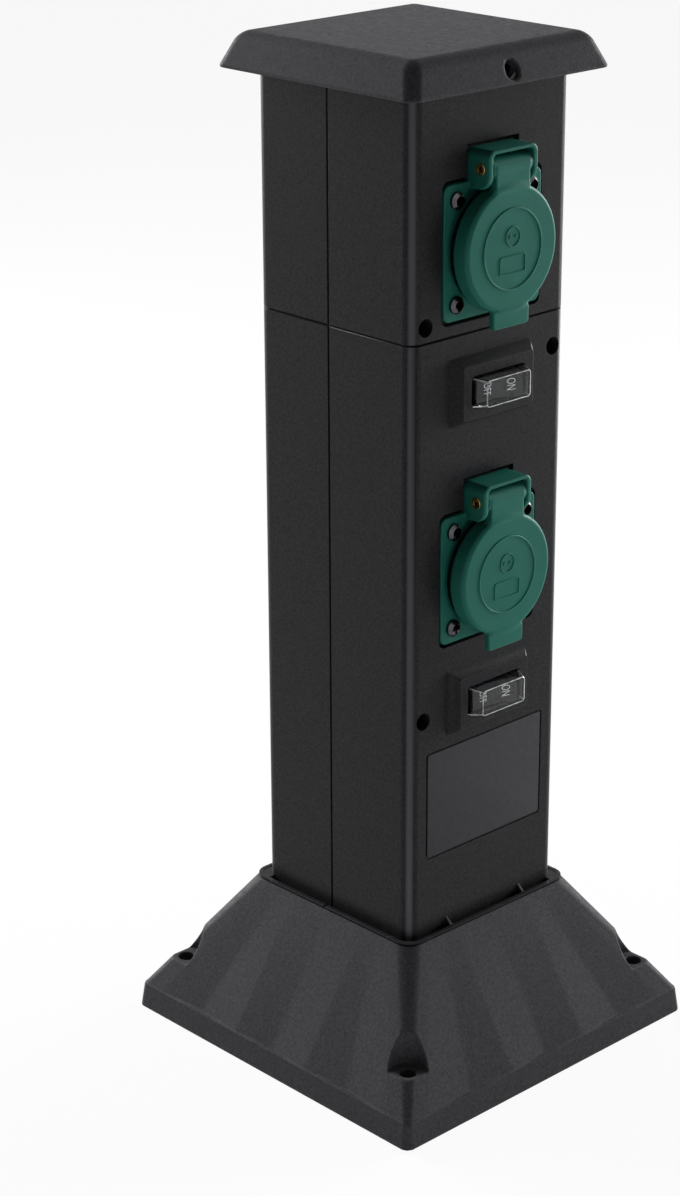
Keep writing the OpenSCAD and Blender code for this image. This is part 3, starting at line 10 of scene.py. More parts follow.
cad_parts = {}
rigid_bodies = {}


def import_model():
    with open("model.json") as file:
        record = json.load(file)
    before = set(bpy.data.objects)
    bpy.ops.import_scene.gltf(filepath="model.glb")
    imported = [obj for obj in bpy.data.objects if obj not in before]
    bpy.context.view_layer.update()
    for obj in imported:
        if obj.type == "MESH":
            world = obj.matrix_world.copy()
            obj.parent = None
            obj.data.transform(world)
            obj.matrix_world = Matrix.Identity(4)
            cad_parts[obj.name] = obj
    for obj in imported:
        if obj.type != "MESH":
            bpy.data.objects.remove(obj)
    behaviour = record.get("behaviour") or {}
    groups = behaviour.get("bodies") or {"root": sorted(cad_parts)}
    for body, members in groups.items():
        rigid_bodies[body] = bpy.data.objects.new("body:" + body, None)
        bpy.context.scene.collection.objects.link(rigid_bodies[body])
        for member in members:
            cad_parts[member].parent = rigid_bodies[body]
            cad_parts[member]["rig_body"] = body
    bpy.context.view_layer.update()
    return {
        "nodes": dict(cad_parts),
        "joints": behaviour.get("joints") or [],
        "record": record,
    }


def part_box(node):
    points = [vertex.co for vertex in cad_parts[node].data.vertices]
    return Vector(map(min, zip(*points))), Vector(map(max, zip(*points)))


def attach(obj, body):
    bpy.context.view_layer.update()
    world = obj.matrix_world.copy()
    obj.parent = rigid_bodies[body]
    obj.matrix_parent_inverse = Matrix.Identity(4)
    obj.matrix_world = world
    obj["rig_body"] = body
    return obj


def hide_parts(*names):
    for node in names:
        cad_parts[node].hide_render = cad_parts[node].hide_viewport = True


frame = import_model()

# Sizes are in millimetres in the formulas below, and in metres on every Blender object.
MM = 0.001
LEVELS = ("upper", "lower")
NODES = frame["nodes"]
SLOT_OF = {s["node"]: s["material_slot"] for s in frame["record"]["subparts"]}
BODY_OF = {n: o["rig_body"] for n, o in NODES.items()}
JOINTS = {j["name"]: j for j in frame["joints"]}
# The corners of a square, counted round from +X +Y
CORNERS = ((1, 1), (-1, 1), (-1, -1), (1, -1))


def box_mm(node):
    """Lowest and highest corner of a CAD node, in millimetres."""
    low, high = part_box(node)
    return np.array(low) / MM, np.array(high) / MM


# Sizes that the frame gives

BASE_HALF, BASE_H = box_mm("base")[1][1:]
POST_HALF = box_mm("upper_front_shell")[1][0]
FOOT_HALF = box_mm("lower_front_shell")[1][0]
FOOT_Z = box_mm("lower_front_shell")[0][2]
CAP_Z = box_mm("cap")[0][2]
CAP_HALF, _, CAP_TOP = box_mm("cap")[1]
GROMMET_Z = np.mean([corner[2] for corner in box_mm("cable_grommet")])
FLANGE_HALF = box_mm("upper_socket_frame")[1][0]
LID_R = box_mm("upper_lid")[1][0]


def socket_z(level):
    """Height of a socket's middle."""
    return box_mm(level + "_socket_frame")[0][2] + FLANGE_HALF


def switch_z(level):
    """Height of a switch's middle."""
    return JOINTS[level + "_rocker_tilt"]["pos_m"][2] / MM


def on_face(z):
    """Matrix for pieces drawn at the column's front: X right, Y up, Z out of the face."""
    return Matrix.Translation((0, -POST_HALF * MM, z * MM)) @ Matrix.Rotation(math.pi / 2, 4, "X")


HINGE_UP = JOINTS["upper_lid_hinge"]["pos_m"][2] / MM - socket_z("upper")
HINGE_OUT = -JOINTS["upper_lid_hinge"]["pos_m"][1] / MM - POST_HALF
AXLE_OUT = -JOINTS["upper_rocker_tilt"]["pos_m"][1] / MM - POST_HALF

# The column's corner radius, and |x| + |y| at the middle of a corner
POST_R = 5.0
CORNER_SUM = 2 * POST_HALF - (2 - math.sqrt(2)) * POST_R


# Distance formulas: negative inside a shape, positive outside


def meet(parts, r):
    """Where all parts overlap, with an outer edge of radius r."""
    inset = [p + r for p in parts]
    outside = np.sqrt(sum(np.maximum(p, 0) ** 2 for p in inset))
    deepest = inset[0]
    for p in inset[1:]:
        deepest = np.maximum(deepest, p)
    return outside + np.minimum(deepest, 0) - r


def between(v, low, high):
    """Distance to the slice from low to high."""
    return np.abs(v - (low + high) / 2) - (high - low) / 2


def join(a, b, blend):
    """Both shapes, with a fillet about as wide as blend."""
    h = np.maximum(blend - np.abs(a - b), 0) / blend
    return np.minimum(a, b) - h * h * blend / 4


def cut(a, b, blend):
    """The first shape without the second, with the edge eased by blend."""
    return -join(-a, b, blend)


# Mesh makers

GRID_MARGIN = 1.5  # grid cells beyond a shape's box
SETTLE_ROUNDS = 3  # times that points are drawn onto a surface
LEAST_SLOPE = 0.05  # least squared slope to divide by
LOFT_SHARP = math.radians(50)  # edges sharper than this are shaded sharp
# Across and up, as shares of a raised line's width and height
BAND_SECTION = ((0.5, -0.3), (0.5, 0), (0.36, 0.75), (0.2, 1),
                (-0.2, 1), (-0.36, 0.75), (-0.5, 0), (-0.5, -0.3))


def new_mesh(name, points, faces):
    """A smooth-shaded mesh from points in millimetres."""
    mesh = bpy.data.meshes.new(name)
    mesh.from_pydata((np.asarray(points) * MM).tolist(), [], faces)
    mesh.polygons.foreach_set("use_smooth", [True] * len(mesh.polygons))
    mesh.update()
    return mesh


def corner_block(values, offset):
    """The values at one corner of every grid cell."""
    return values[tuple(slice(o, n - 1 + o) for o, n in zip(offset, values.shape))]


def gradient(distance, points, step=0.02):
    """Value and gradient of a distance formula at points."""
    x, y, z = points.T
    slope = np.stack([
        distance(x + step, y, z) - distance(x - step, y, z),
        distance(x, y + step, z) - distance(x, y - step, z),
        distance(x, y, z + step) - distance(x, y, z - step),
    ], axis=1) / (2 * step)
    return distance(x, y, z), slope


def grid_line(low, high, cell, fine):
    """Grid places along an axis, closer together where abs(place) is in a fine range (low, high, step)."""
    places = [low - GRID_MARGIN * cell]
    while places[-1] < high + GRID_MARGIN * cell:
        steps = [step for a, b, step in fine if a <= abs(places[-1]) <= b]
        places.append(places[-1] + min(steps, default=cell))
    return np.array(places)


def moulded(name, distance, low, high, cell, fine=((), (), ())):
    """A mesh of the surface where a distance formula is zero.

    Each grid cell that the surface crosses gets one point, and each grid edge that it crosses
    gets one quad. The points are then drawn onto the surface, which also gives the normals."""
    axes = [grid_line(a, b, cell, f) for a, b, f in zip(low, high, fine)]
    values = distance(*np.meshgrid(*axes, indexing="ij"))
    shape = tuple(n - 1 for n in values.shape)
    total = np.zeros((*shape, 3))
    count = np.zeros(shape)
    for axis in range(3):
        for shift in itertools.product((0, 1), repeat=2):
            start = list(shift)
            start.insert(axis, 0)
            end = list(start)
            end[axis] = 1
            a = corner_block(values, start)
            b = corner_block(values, end)
            crossed = (a < 0) != (b < 0)
            share = np.where(crossed, a / np.where(crossed, a - b, 1), 0)
            for k in range(3):
                total[..., k] += share if k == axis else crossed * start[k]
            count += crossed
    used = count > 0
    index = np.full(shape, -1)
    index[used] = np.arange(np.count_nonzero(used))
    points = np.argwhere(used) + total[used] / count[used][:, None]
    points = np.stack([np.interp(points[:, k], np.arange(len(axes[k])), axes[k]) for k in range(3)], axis=1)

    quads = []
    for axis in range(3):
        u, v = (axis + 1) % 3, (axis + 2) % 3
        inside = np.moveaxis(values < 0, axis, 0)
        flips = np.moveaxis(inside[:-1] != inside[1:], 0, axis)
        at = np.argwhere(flips)
        outward = (values < 0)[tuple(at.T)]
        around = []
        for du, dv in ((1, 1), (0, 1), (0, 0), (1, 0)):
            cell_at = at.copy()
            cell_at[:, u] -= du
            cell_at[:, v] -= dv
            around.append(index[tuple(cell_at.T)])
        around = np.stack(around, axis=1)
        quads.append(np.where(outward[:, None], around, around[:, ::-1]))

    for _ in range(SETTLE_ROUNDS):
        value, slope = gradient(distance, points)
        pull = slope * (value / np.maximum((slope ** 2).sum(1), LEAST_SLOPE))[:, None]
        points = points - np.clip(pull, -cell / 2, cell / 2)
    mesh = new_mesh(name, points, np.concatenate(quads).tolist())
    slope = gradient(distance, points)[1]
    mesh.normals_split_custom_set_from_vertices(slope / np.linalg.norm(slope, axis=1)[:, None])
    return mesh


def circle(r, x=0.0, y=0.0, steps=64):
    """Points of a circle."""
    turns = [2 * math.pi * k / steps for k in range(steps)]
    return [(x + r * math.cos(a), y + r * math.sin(a)) for a in turns]


def round_rect(w, h, r, z, steps=6):
    """Points of a rounded rectangle at one height."""
    points = []
    for quarter, (sx, sy) in enumerate(CORNERS):
        for j in range(steps + 1):
            a = math.pi / 2 * (quarter + j / steps)
            points.append((sx * (w / 2 - r) + r * math.cos(a), sy * (h / 2 - r) + r * math.sin(a), z))
    return points


def corner_arc(half, r, steps=8):
    """Points round the +X +Y corner of a square, from its X side to its Y side."""
    turns = [math.pi / 2 * i / steps for i in range(steps + 1)]
    return [(half - r * (1 - math.cos(a)), half - r * (1 - math.sin(a))) for a in turns]


def lofted(name, rings, closed=False):
    """A mesh over rings of equally many points: closed round like a tyre, or capped at both ends."""
    n = len(rings[0])
    spans = len(rings) if closed else len(rings) - 1
    faces = []
    for i in range(spans):
        a, b = i * n, (i + 1) % len(rings) * n
        for k in range(n):
            m = (k + 1) % n
            faces.append((a + k, a + m, b + m, b + k))
    if not closed:
        faces.append(tuple(range(n))[::-1])
        faces.append(tuple(range(len(rings) * n - n, len(rings) * n)))
    mesh = new_mesh(name, [p for ring in rings for p in ring], faces)
    mesh.set_sharp_from_angle(angle=LOFT_SHARP)
    return mesh


def raised_band(name, outline, width, height, foot):
    """A raised line along a closed outline in X and Y, with sloping sides and a soft top."""
    path = np.array(outline)
    along = np.roll(path, -1, axis=0) - np.roll(path, 1, axis=0)
    along /= np.linalg.norm(along, axis=1)[:, None]
    side = np.stack([along[:, 1], -along[:, 0]], axis=1)
    rings = []
    for across, up in BAND_SECTION:
        flat = path + side * across * width
        rings.append([(x, y, foot + up * height) for x, y in flat])
    return lofted(name, rings[::-1], closed=True)


def in_scene(name, data):
    """A new object in the scene."""
    thing = bpy.data.objects.new(name, data)
    bpy.context.scene.collection.objects.link(thing)
    return thing


# Materials


class Finish:
    """A material under construction: one principled shader with textures in object space."""

    def __init__(self, name, **sockets):
        """Sets shader sockets by name, with _ for each space."""
        self.material = bpy.data.materials.new(name)
        self.material.use_nodes = True
        self.tree = self.material.node_tree
        self.shader = self.tree.nodes["Principled BSDF"]
        self.place = self.tree.nodes.new("ShaderNodeTexCoord").outputs["Object"]
        for socket, value in sockets.items():
            self.shader.inputs[socket.replace("_", " ")].default_value = value

    def link(self, out, to):
        """Links an output to an input."""
        self.tree.links.new(out, to)

    def noise(self, size_mm, detail=2.0, rough=0.5, stretch=None):
        """Noise with features of about one size. stretch scales the coordinates along X, Y and Z."""
        node = self.tree.nodes.new("ShaderNodeTexNoise")
        node.inputs["Scale"].default_value = 1 / (size_mm * MM)
        node.inputs["Detail"].default_value = detail
        node.inputs["Roughness"].default_value = rough
        place = self.place
        if stretch:
            scaling = self.tree.nodes.new("ShaderNodeMapping")
            scaling.inputs["Scale"].default_value = stretch
            self.link(place, scaling.inputs["Vector"])
            place = scaling.outputs["Vector"]
        self.link(place, node.inputs["Vector"])
        return node.outputs["Fac"]

    def cells(self, size_mm):
        """Distance to the nearest of many scattered points."""
        node = self.tree.nodes.new("ShaderNodeTexVoronoi")
        node.inputs["Scale"].default_value = 1 / (size_mm * MM)
        self.link(self.place, node.inputs["Vector"])
        return node.outputs["Distance"]

    def ramp(self, value, stops):
        """A colour ramp over a value. stops are (place, colour)."""
        node = self.tree.nodes.new("ShaderNodeValToRGB")
        elements = node.color_ramp.elements
        while len(elements) < len(stops):
            elements.new(0.5)
        for element, (at, colour) in zip(elements, stops):
            element.position = at
            element.color = (*colour, 1)
        self.link(value, node.inputs["Fac"])
        return node.outputs["Color"]

    def colour(self, value, dark, light, low=0.3, high=0.7):
        """Base colour: dark where the value is up to low, light from high on."""
        self.link(self.ramp(value, [(low, dark), (high, light)]), self.shader.inputs["Base Color"])

    def painted_corner_highlight(self, at_mm, before_mm, after_mm, colour):
        """Paints a highlight onto upright corners: lighter most where |x| + |y| is at_mm, fading out before
        and after it.
        """
        parts = self.tree.nodes.new("ShaderNodeSeparateXYZ")
        self.link(self.place, parts.inputs[0])
        total = self.tree.nodes.new("ShaderNodeMath")
        for axis, socket in (("X", 0), ("Y", 1)):
            size = self.tree.nodes.new("ShaderNodeMath")
            size.operation = "ABSOLUTE"
            self.link(parts.outputs[axis], size.inputs[0])
            self.link(size.outputs[0], total.inputs[socket])
        share = self.tree.nodes.new("ShaderNodeMapRange")
        share.inputs["From Min"].default_value = (at_mm - before_mm) * MM
        share.inputs["From Max"].default_value = (at_mm + after_mm) * MM
        self.link(total.outputs[0], share.inputs["Value"])
        peak = before_mm / (before_mm + after_mm)
        black, white = (0, 0, 0), (1, 1, 1)
        # mask of the painted highlight along the corners
        highlight_mask = self.ramp(share.outputs["Result"], [(0, black), (peak, white), (1, black)])
        mix = self.tree.nodes.new("ShaderNodeMix")
        mix.data_type = "RGBA"
        self.link(highlight_mask, mix.inputs["Factor"])
        self.link(self.shader.inputs["Base Color"].links[0].from_socket, mix.inputs["A"])
        mix.inputs["B"].default_value = (*colour, 1)
        self.link(mix.outputs["Result"], self.shader.inputs["Base Color"])

    def roughness(self, value, smooth, rough, low=0.3, high=0.7):
        """Roughness: smooth where the value is up to low, rough from high on."""
        node = self.tree.nodes.new("ShaderNodeMapRange")
        node.inputs["From Min"].default_value = low
        node.inputs["From Max"].default_value = high
        node.inputs["To Min"].default_value = smooth
        node.inputs["To Max"].default_value = rough
        self.link(value, node.inputs["Value"])
        self.link(node.outputs["Result"], self.shader.inputs["Roughness"])

    def bump(self, value, depth_mm, strength):
        """Adds relief; a second call adds to the first."""
        node = self.tree.nodes.new("ShaderNodeBump")
        node.inputs["Strength"].default_value = strength
        node.inputs["Distance"].default_value = depth_mm * MM
        self.link(value, node.inputs["Height"])
        if self.shader.inputs["Normal"].is_linked:
            self.link(self.shader.inputs["Normal"].links[0].from_socket, node.inputs["Normal"])
        self.link(node.outputs["Normal"], self.shader.inputs["Normal"])


def grey(v, tint=0.09):
    """A neutral grey that leans a little to blue."""
    return (v, v, v * (1 + tint))


def smooth_black():
    """Charcoal plastic of the column, with a faint grain and a painted highlight down its upright corners.
    """
    f = Finish("smooth_black", Specular_IOR_Level=0.08)
    f.colour(f.noise(1.0, detail=5, rough=0.7), dark=grey(0.012), light=grey(0.04))
    # a lighter strip painted down each upright corner, as a highlight
    f.painted_corner_highlight(CORNER_SUM, before_mm=0.4, after_mm=0.15, colour=grey(0.14))
    f.roughness(f.noise(2.4, detail=3), smooth=0.31, rough=0.4)
    f.bump(f.noise(0.6, rough=0.6), depth_mm=0.05, strength=0.4)
    return f.material


def textured_black():
    """Charcoal plastic of the base and cap, with the grain of a spark-eroded mould, a little dusty."""
    f = Finish("textured_black", Specular_IOR_Level=0.06)
    f.colour(f.noise(1.1, detail=6, rough=0.75), dark=grey(0.034), light=grey(0.094))
    f.roughness(f.noise(2.4, detail=3), smooth=0.5, rough=0.64)
    f.bump(f.noise(0.75, rough=0.6), depth_mm=0.10, strength=0.55)
    f.bump(f.cells(0.9), depth_mm=0.05, strength=0.35)
    return f.material


def satin_green():
    """Bottle-green moulded plastic with a soft sheen."""
    f = Finish("satin_green", Specular_IOR_Level=0.1)
    f.colour(f.noise(16, detail=3), dark=(0.019, 0.163, 0.122), light=(0.024, 0.18, 0.137))
    f.roughness(f.noise(5, detail=3), smooth=0.36, rough=0.48)
    f.bump(f.noise(0.5), depth_mm=0.02, strength=0.4)
    return f.material


def gloss_black():
    """Semi-gloss black plastic of the rockers, switch bodies and socket inserts."""
    f = Finish("gloss_black", Specular_IOR_Level=0.18)
    f.colour(f.noise(9, detail=3), dark=grey(0.01), light=grey(0.017))
    f.roughness(f.noise(3, detail=3), smooth=0.24, rough=0.36)
    f.bump(f.noise(0.6), depth_mm=0.01, strength=0.3)
    return f.material


def pale_nylon():
    """Natural nylon of the terminal block."""
    f = Finish("pale_nylon", Specular_IOR_Level=0.4)
    f.colour(f.noise(8, detail=3), dark=(0.58, 0.57, 0.52), light=(0.66, 0.65, 0.6))
    f.roughness(f.noise(2, detail=3), smooth=0.4, rough=0.55)
    f.bump(f.noise(0.5), depth_mm=0.02, strength=0.4)
    return f.material


def clear_plastic():
    """Clear moulded plastic, faintly scuffed."""
    f = Finish("clear_plastic", Transmission_Weight=1.0, IOR=1.22)
    f.colour(f.noise(10, detail=3), dark=(0.93, 0.95, 0.95), light=(0.98, 0.985, 0.985))
    f.roughness(f.noise(4, detail=4), smooth=0.0, rough=0.03)
    return f.material


def painted_edge_highlight():
    """A pale, half-clear finish for beads on the clear covers' rounded edges: a painted highlight in place
    of the light that gathers there.
    """
    f = Finish("painted_edge_highlight", Transmission_Weight=0.35, IOR=1.3)
    f.colour(f.noise(3, detail=3), dark=(0.42, 0.44, 0.44), light=(0.92, 0.94, 0.94), low=0.35, high=0.65)
    f.roughness(f.noise(2, detail=3), smooth=0.15, rough=0.3)
    return f.material


def matt_rubber():
    """Black rubber of the gaskets, the lid seals and the grommet."""
    f = Finish("matt_rubber", Specular_IOR_Level=0.25)
    f.colour(f.noise(6, detail=4), dark=grey(0.011), light=grey(0.019))
    f.roughness(f.noise(1.5, detail=3), smooth=0.62, rough=0.8)
    f.bump(f.noise(0.6, detail=3), depth_mm=0.04, strength=0.5)
    return f.material


def metal(name, dark, light, smooth, rough, grain):
    """Plated or drawn metal. grain scales the coordinates, so its fine lines run along the least of them."""
    f = Finish(name, Metallic=1.0)
    f.colour(f.noise(3, detail=3), dark, light)
    f.roughness(f.noise(0.8, detail=3, stretch=grain), smooth, rough)
    f.bump(f.noise(0.3, stretch=grain), depth_mm=0.01, strength=0.35)
    return f.material


def insulation(name, dark, light):
    """Wire insulation in one colour."""
    f = Finish(name, Specular_IOR_Level=0.4)
    f.colour(f.noise(5, detail=3), dark, light)
    f.roughness(f.noise(2, detail=3), smooth=0.35, rough=0.5)
    f.bump(f.noise(0.8), depth_mm=0.02, strength=0.3)
    return f.material


def earth_insulation():
    """Green wire with a yellow stripe along it."""
    f = Finish("earth_insulation", Specular_IOR_Level=0.4)
    stripes = f.noise(5, detail=1, stretch=(1.6, 1.6, 0.1))
    f.colour(stripes, dark=(0.05, 0.22, 0.04), light=(0.62, 0.5, 0.05), low=0.48, high=0.52)
    f.roughness(f.noise(2, detail=3), smooth=0.35, rough=0.5)
    f.bump(f.noise(0.8), depth_mm=0.02, strength=0.3)
    return f.material


def label_film():
    """Bare, slightly lighter film on the label panel."""
    f = Finish("label_film", Specular_IOR_Level=0.12)
    f.colour(f.noise(3, detail=5, rough=0.7), dark=grey(0.043), light=grey(0.056))
    f.roughness(f.noise(2, detail=3), smooth=0.4, rough=0.52)
    f.bump(f.noise(0.5), depth_mm=0.03, strength=0.35)
    return f.material


def printed_white():
    """Pad-printed lettering, slightly worn."""
    f = Finish("printed_white", Specular_IOR_Level=0.3)
    f.colour(f.noise(1.2, detail=4, rough=0.65), dark=grey(0.42, 0.01), light=grey(0.62, 0.01), high=0.62)
    f.roughness(f.noise(1, detail=3), smooth=0.45, rough=0.6)
    f.bump(f.noise(0.3), depth_mm=0.01, strength=0.3)
    return f.material


FINISHES = {
    "black_plastic": smooth_black(),
    "green_plastic": satin_green(),
    "black_gloss_plastic": gloss_black(),
    "pale_plastic": pale_nylon(),
    "clear_plastic": clear_plastic(),
    "black_rubber": matt_rubber(),
    "steel": metal("zinc_steel", grey(0.34), grey(0.52), 0.28, 0.42, grain=(1, 1, 0.15)),
    "dark_steel": metal("dark_steel", grey(0.05), grey(0.1), 0.2, 0.32, grain=(1, 1, 0.3)),
    "brass": metal("drawn_brass", (0.58, 0.34, 0.1), (0.8, 0.52, 0.18), 0.18, 0.32, grain=(0.15, 1, 1)),
    "brown_insulation": insulation("brown_insulation", (0.07, 0.025, 0.01), (0.1, 0.035, 0.014)),
    "blue_insulation": insulation("blue_insulation", (0.014, 0.05, 0.24), (0.02, 0.07, 0.3)),
    "earth_insulation": earth_insulation(),
}
PRINT = printed_white()
# finish with a painted highlight for the covers' edges
EDGE_HIGHLIGHT = painted_edge_highlight()
GRAINED = textured_black()


def placed(name, data, body, slot=None, matrix=None, replaces=(), material=None):
    """A piece of the object, in place, riding on its body, with its finish. data is a mesh or a curve."""
    piece = in_scene(name, data)
    if matrix is not None:
        piece.matrix_world = matrix
    data.materials.clear()
    data.materials.append(material or FINISHES[slot])
    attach(piece, body)
    if replaces:
        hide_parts(*replaces)
    return piece


# The base: skirt, folded slopes, corner pockets, and the hollow underneath

SKIRT_H = 10.5
SKIRT_DRAFT = 1.2  # how far the skirt's sides lean in over its height
SKIRT_LEDGE = 0.3  # step from the skirt to the slopes
RIM_W = 0.6  # rim round the recess for the column's foot
BASE_R = 3.0
BASE_TOP_R = 7.0
BASE_WALL = 4.4
BASE_PLATE = 4.0  # floor of the recess
SLOPE_SINK = 3.0  # how far the slopes go down into the skirt
FLUTE_DEEP = 1.4
FLUTE_RIDGE = 20.0  # from a side's middle to the ridge between its middle and outer flutes
FLUTE_END = 66.0  # from a side's middle to the outer flutes' far ridge, near the skirt
FLUTE_SOFT = 1.0  # rounds the middle of a flute
RIDGE_SOFT = 0.05  # rounds the ridges, as a share of the depth
FIX_HALF = 64.5  # half the pitch of the ground screws
FIX_R = 3.25
POCKET_R = 7.5
POCKET_Z = 22.5  # floor of the corner pockets
COLUMN_R = 11.0  # bolt columns under the pockets
CABLE_R = 23.0  # opening for the cable, up into the column
CABLE_Z = 20.0
INLET_R = 10.5
INLET_Y = (52.5, 73.5)
GROMMET_R = 7.05
SCREW_AT = (33.55, 31.0)  # the screws that hold the column
SCREW_R = 2.05

SLOPE_HALF = BASE_HALF - SKIRT_DRAFT - SKIRT_LEDGE
LEAN = (SLOPE_HALF - FOOT_HALF) / (BASE_H - SKIRT_H)
LEAN_COS = 1 / math.hypot(1, LEAN)
# Half the recess for the column's foot, inside the base's rim
RECESS_HALF = FOOT_HALF - RIM_W

# Grid steps of the base: in general, near the rim and round the pockets, and how far those reach
BASE_CELL = 1.0
RIM_CELL = 0.3
RIM_REACH = 0.6
POCKET_CELL = 0.5
POCKET_REACH = POCKET_R + 1
POCKET_UP = (-1, 18)


def flute(along, half, r):
    """How far into a flute a place lies, from 0 at its ridges to 1 along its middle."""
    share = (FLUTE_END - FLUTE_RIDGE) / (BASE_HALF - BASE_R - FLUTE_RIDGE)
    wide = FLUTE_RIDGE + (half - r - FLUTE_RIDGE) * share
    middle = (FLUTE_RIDGE + wide) / 2
    inner = 1 - (np.hypot(along, FLUTE_SOFT) - FLUTE_SOFT) / FLUTE_RIDGE
    outer = 1 - (np.hypot(along - middle, FLUTE_SOFT) - FLUTE_SOFT) / (wide - middle)
    deeper = (inner + outer + np.hypot(inner - outer, RIDGE_SOFT)) / 2
    return (deeper + np.hypot(deeper, RIDGE_SOFT)) / 2


def slopes(ax, ay, z, inset, fluted):
    """The four slopes, moved in by a wall, with (1) or without (0) the flutes of the outside."""
    up = np.clip((z - SKIRT_H) / (BASE_H - SKIRT_H), 0, 1)
    half = SLOPE_HALF - inset - LEAN * (np.maximum(z, SKIRT_H) - SKIRT_H)
    r = BASE_R + (BASE_TOP_R - BASE_R) * up
    deep = FLUTE_DEEP * (1 - up) * fluted
    side_x = ax - half + deep * flute(ay, half, r)
    side_y = ay - half + deep * flute(ax, half, r)
    out_x = np.maximum(side_x + r, 0)
    out_y = np.maximum(side_y + r, 0)
    return (np.hypot(out_x, out_y) + np.minimum(np.maximum(side_x, side_y) + r, 0) - r) * LEAN_COS


def base_shape(x, y, z):
    """The base: outside, hollow, recess for the column's foot, pockets, holes and cable inlet."""
    ax, ay = np.abs(x), np.abs(y)
    skirt_half = BASE_HALF - SKIRT_DRAFT * z / SKIRT_H
    skirt = meet([meet([ax - skirt_half, ay - skirt_half], BASE_R), between(z, 0, SKIRT_H)], r=0.5)
    slope = meet([slopes(ax, ay, z, 0, 1), between(z, SKIRT_H - SLOPE_SINK, BASE_H)], r=0.25)
    recess = meet([ax - RECESS_HALF, ay - RECESS_HALF], BASE_TOP_R - RIM_W)
    recess = meet([recess, FOOT_Z - z], r=0.2)
    around_inlet = np.hypot(x, z - GROMMET_Z)
    inlet = meet([around_inlet - INLET_R, between(y, *INLET_Y)], r=0.7)
    corner = np.hypot(ax - FIX_HALF, ay - FIX_HALF)
    hollow = meet([slopes(ax, ay, z, BASE_WALL, 0), z - (FOOT_Z - BASE_PLATE)], r=1.5)
    hollow = cut(cut(hollow, corner - COLUMN_R, blend=1.2), inlet, blend=1.0)
    solid = join(join(skirt, slope, blend=0.4), inlet, blend=1.4)
    solid = cut(cut(solid, hollow, blend=0.6), recess, blend=0.15)
    solid = cut(solid, meet([corner - POCKET_R, POCKET_Z - z], r=0.5), blend=0.7)
    solid = cut(solid, corner - FIX_R, blend=0.5)
    solid = cut(solid, meet([np.hypot(x, y) - CABLE_R, CABLE_Z - z], r=0.5), blend=0.6)
    solid = cut(solid, np.hypot(ax - SCREW_AT[0], ay - SCREW_AT[1]) - SCREW_R, blend=0.2)
    return cut(solid, meet([around_inlet - GROMMET_R, -y], r=0.5), blend=0.4)


edge_steps = ((FOOT_HALF - 2 * RIM_REACH, FOOT_HALF + RIM_REACH, RIM_CELL),
              (FIX_HALF - POCKET_REACH, FIX_HALF + POCKET_REACH, POCKET_CELL))
height_steps = ((FOOT_Z - RIM_REACH, BASE_H + RIM_REACH, RIM_CELL),
                (POCKET_Z + POCKET_UP[0], POCKET_Z + POCKET_UP[1], POCKET_CELL))
base_mesh = moulded("base_moulding", base_shape, (-BASE_HALF, -BASE_HALF, 0), (BASE_HALF, BASE_HALF, BASE_H),
                    BASE_CELL, (edge_steps, edge_steps, height_steps))
placed("base_moulding", base_mesh, "post", "black_plastic", replaces=["base"], material=GRAINED)

# The cap: an overhanging roof with leaning sides and a soft top edge

CAP_BAND = 1.0  # upright band at the lower edge
CAP_LEAN = 5.3  # how far the sides lean in above it
CAP_WALL = 2.5
CAP_PLATE = 2.5
CAP_EDGE_R = 4.0  # edge between the sides and the top
CAP_R = 5.0
CAP_SCREW_UP = 5.0
CAP_SEAT_T = 3.0  # what a screw's head holds
CAP_BOSS_R = 4.4
WELL_R = 3.4  # well for a screw's head
CAP_CELL = 0.9
CAP_TAN = CAP_LEAN / (CAP_TOP - CAP_Z - CAP_BAND)
CAP_COS = 1 / math.hypot(1, CAP_TAN)


def cap_sides(ax, ay, z, inset):
    """The cap's four leaning sides, moved in by a wall."""
    half = CAP_HALF - inset - CAP_TAN * np.maximum(z - CAP_Z - CAP_BAND, 0)
    return meet([ax - half, ay - half], CAP_R) * CAP_COS


def cap_shape(x, y, z):
    """The cap: a hollow roof with a boss, a well and a hole for the screw at its front and rear."""
    ax, ay = np.abs(x), np.abs(y)
    outside = meet([cap_sides(ax, ay, z, 0), z - CAP_TOP], CAP_EDGE_R)
    outside = meet([outside, CAP_Z - z], r=0.5)
    inside = meet([cap_sides(ax, ay, z, CAP_WALL), z - (CAP_TOP - CAP_PLATE)], r=0.8)
    around = np.hypot(x, z - CAP_Z - CAP_SCREW_UP)
    boss = meet([around - CAP_BOSS_R, between(ay, POST_HALF, CAP_HALF - CAP_LEAN + CAP_WALL / 2)], r=0.3)
    solid = join(cut(outside, inside, blend=0.5), boss, blend=0.6)
    solid = cut(solid, meet([around - WELL_R, POST_HALF + CAP_SEAT_T - ay], r=0.2), blend=0.7)
    return cut(solid, around - SCREW_R, blend=0.2)


cap_mesh = moulded("cap_moulding", cap_shape, (-CAP_HALF, -CAP_HALF, CAP_Z), (CAP_HALF, CAP_HALF, CAP_TOP),
                   CAP_CELL)
placed("cap_moulding", cap_mesh, "post", "black_plastic", replaces=["cap"], material=GRAINED)

# The socket frames: square flange and hinge hood, drawn at the column's face

